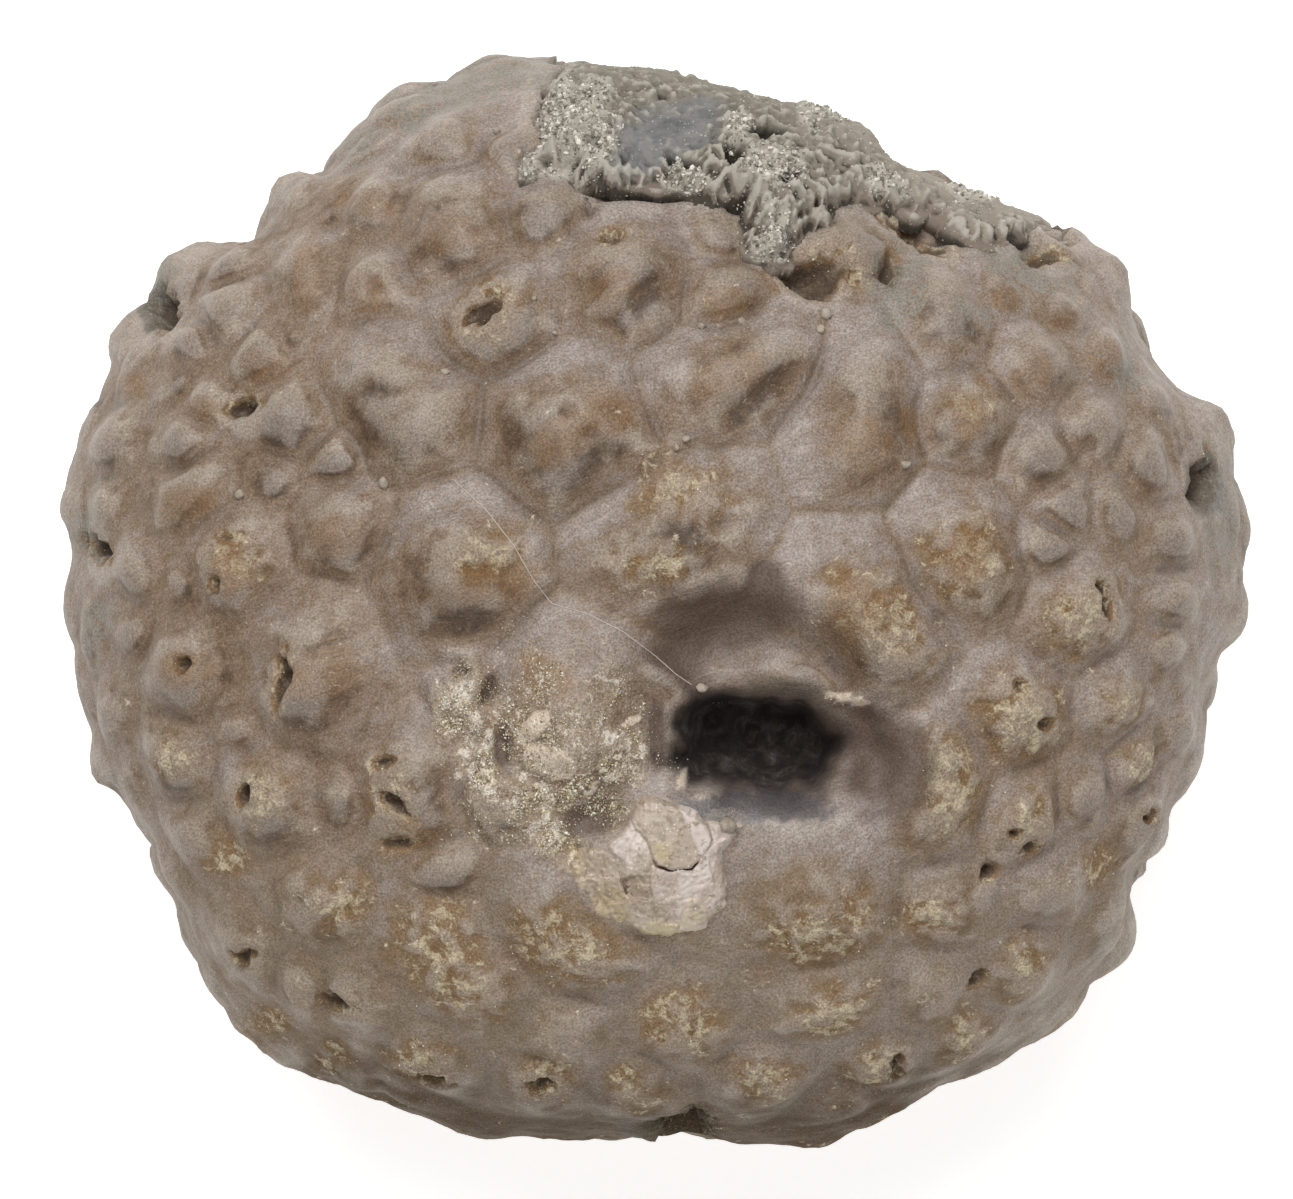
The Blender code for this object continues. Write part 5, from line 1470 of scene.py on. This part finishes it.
# %% The grey rock
def grey_limestone():
    """The host rock."""
    material, tree, shader, in_mm, values = new_material(
        "grey_limestone", 0.88, 1.5,
        painted=("slate", "heap", "crevice", "crest_mm", "height_mm", "east_mm", "edge_mm"),
        noises=(("mottle", 1.3, 5, 0.6, 0.5), ("grain", 0.45, 7, 0.7, 0.0), ("dust", 0.12, 3, 0.6, 0.0),
                ("streak", 0.6, 5, 0.65, 0.4, 4.0)))
    streak = add(tree, "MapRange", {0: values["streak"], 1: 0.45, 2: 0.7}).outputs[0]
    streaks = add(tree, "Math", {0: streak, 1: values["slate"]}, operation="MULTIPLY").outputs[0]
    colour = layered(tree, values, linear("#918A7E"), (
        ("mottle", "grain", 0.6, 0.6, 1.0, 0.8, "#645C4E"),
        ("height_mm", "mottle", 5.0, 9.5, 3.5, 0.8, "#8F897B"),
        ("east_mm", "mottle", 5.0, 6.0, 14.0, 0.85, "#9C9285"),
        ("edge_mm", "mottle", -1.0, 0.4, -0.3, 0.8, "#7F7164"),
        ("slate", "grain", 1.6, 0.9, 1.8, 0.75, "#828282"),
        (streaks, "#5E5F60"),
        # Paler on crests: painted light.
        ("crest_mm", "grain", 0.16, 0.1, 0.26, 0.7, "#C4BEB2"),
        # Darker in hollows: painted shade.
        ("crest_mm", "grain", -0.06, -0.06, -0.22, 1.0, "#453F35"),
        ("heap", "grain", 1.4, 0.9, 1.6, 0.8, "#BDB7AB"),
        (dots(tree, in_mm, 0.16, 0.3), "#C2BCB0"),
        # Near black in the crevices: painted shadow.
        ("crevice", "grain", 0.3, 0.3, 0.8, 1.0, "#2A2419"),
    ))
    tree.links.new(colour, shader.inputs["Base Color"])
    grain = add(tree, "Bump", {"Height": values["grain"], "Strength": 0.8, "Distance": 0.12 * MM})
    fine = add(tree, "Bump", {"Height": values["dust"], "Strength": 0.6, "Distance": 0.03 * MM,
                              "Normal": grain.outputs[0]})
    tree.links.new(fine.outputs[0], shader.inputs["Normal"])
    return material


rock.data.materials.append(grey_limestone())
print("limestone finished with", len(rock.data.materials[0].node_tree.nodes), "nodes")

# %% [markdown]
# ### Sand and lint
# Both are tiny, so one tone with a little speckle is all that can be seen of them.

# %% Sand and lint
def speckled(name, tone, darker, roughness, ior, size):
    """One tone with darker specks of about `size` mm."""
    speck = ("speck", size, 2, 0.5, 0.0)
    material, tree, shader, _, values = new_material(name, roughness, ior, noises=(speck,))
    colour = layered(tree, values, linear(tone), ((values["speck"], darker),))
    tree.links.new(colour, shader.inputs["Base Color"])
    bump = add(tree, "Bump", {"Height": values["speck"], "Strength": 0.5, "Distance": 0.02 * MM})
    tree.links.new(bump.outputs[0], shader.inputs["Normal"])
    return material


grains_piece.data.materials.append(speckled("quartz_sand", "#B9AE9D", "#85796A", 0.6, 1.54, 0.15))
lint.data.materials.append(speckled("cotton_lint", "#CFC7BB", "#A89F92", 0.9, 1.5, 0.1))
print("materials:", [material.name for material in bpy.data.materials])

# %% [markdown]
# ## Table, light and camera
# The specimen lies on a pale table under a large soft light that stands beyond its upper edge,
# so each plate is bright on its upper side and dark below, and its relief reads.
# The camera looks straight down, far off through a long lens, so that nothing is foreshortened.

# %% Table
TABLE_SIDE = 0.9
TABLE_GLOW = 0.6  # as if the card were lit from below, which keeps its shadow faint


def pale_table():
    """A square of card, which is stage and not part of the object."""
    side = TABLE_SIDE / 2
    mesh = bpy.data.meshes.new("table")
    corners = [(-side, -side, 0), (side, -side, 0), (side, side, 0), (-side, side, 0)]
    mesh.from_pydata(corners, [], [(0, 1, 2, 3)])
    table = bpy.data.objects.new("table", mesh)
    bpy.context.collection.objects.link(table)
    material, _, shader, _, _ = new_material("pale_card", 0.9, 1.45)
    shader.inputs["Base Color"].default_value = linear("#F6F5F3")
    shader.inputs["Emission Color"].default_value = linear("#FFFFFF")
    shader.inputs["Emission Strength"].default_value = TABLE_GLOW
    mesh.materials.append(material)


pale_table()
print("table, m:", TABLE_SIDE)

# %% Lights
SOFTBOX = (0.34, 2.62)  # side in metres, watts
SOFTBOX_TILT = 27  # degrees from straight up, towards +Y
SOFTBOX_TURN = 10  # and this far round to the left
SOFTBOX_AWAY = 0.55  # metres
FILL = (0.6, 0.95)
FILL_AT = (0.1, -0.35, 0.45)  # metres, from the lower edge
SKY = 0.2


def area_light(name, side, watts, position):
    """A square light that faces the specimen."""
    lamp = bpy.data.lights.new(name, "AREA")
    lamp.size, lamp.energy = side, watts
    light = bpy.data.objects.new(name, lamp)
    light.location = position
    light.rotation_euler = (-Vector(position)).to_track_quat("-Z", "Y").to_euler()
    bpy.context.collection.objects.link(light)


tilt, turn = math.radians(SOFTBOX_TILT), math.radians(SOFTBOX_TURN)
toward = (-math.sin(tilt) * math.sin(turn), math.sin(tilt) * math.cos(turn), math.cos(tilt))
softbox_at = [SOFTBOX_AWAY * part for part in toward]
area_light("softbox", *SOFTBOX, softbox_at)
area_light("fill", *FILL, FILL_AT)
world = bpy.data.worlds.new("studio")
world.use_nodes = True
world.node_tree.nodes["Background"].inputs["Color"].default_value = linear("#FFFFFF")
world.node_tree.nodes["Background"].inputs["Strength"].default_value = SKY
bpy.context.scene.world = world
print("softbox at, m:", softbox_at)

# %% Camera
FRAME_PIXELS = 1293
PIXELS_PER_MM = 25.0
FRAME_MIDDLE = (-0.26, 0.06)  # mm, what the middle of the frame looks at
CAMERA_OVER = 0.8  # metres over the widest line
SENSOR = 36.0  # mm

camera_data = bpy.data.cameras.new("overhead")
camera_data.sensor_width = SENSOR
camera_data.lens = SENSOR * CAMERA_OVER / (FRAME_PIXELS / PIXELS_PER_MM * MM)
camera = bpy.data.objects.new("overhead", camera_data)
camera.location = (FRAME_MIDDLE[0] * MM, FRAME_MIDDLE[1] * MM, TABLE_DEPTH * MM + CAMERA_OVER)
bpy.context.collection.objects.link(camera)
bpy.context.scene.camera = camera
bpy.context.scene.view_settings.view_transform = "Standard"
print("lens, mm:", round(camera_data.lens, 1))
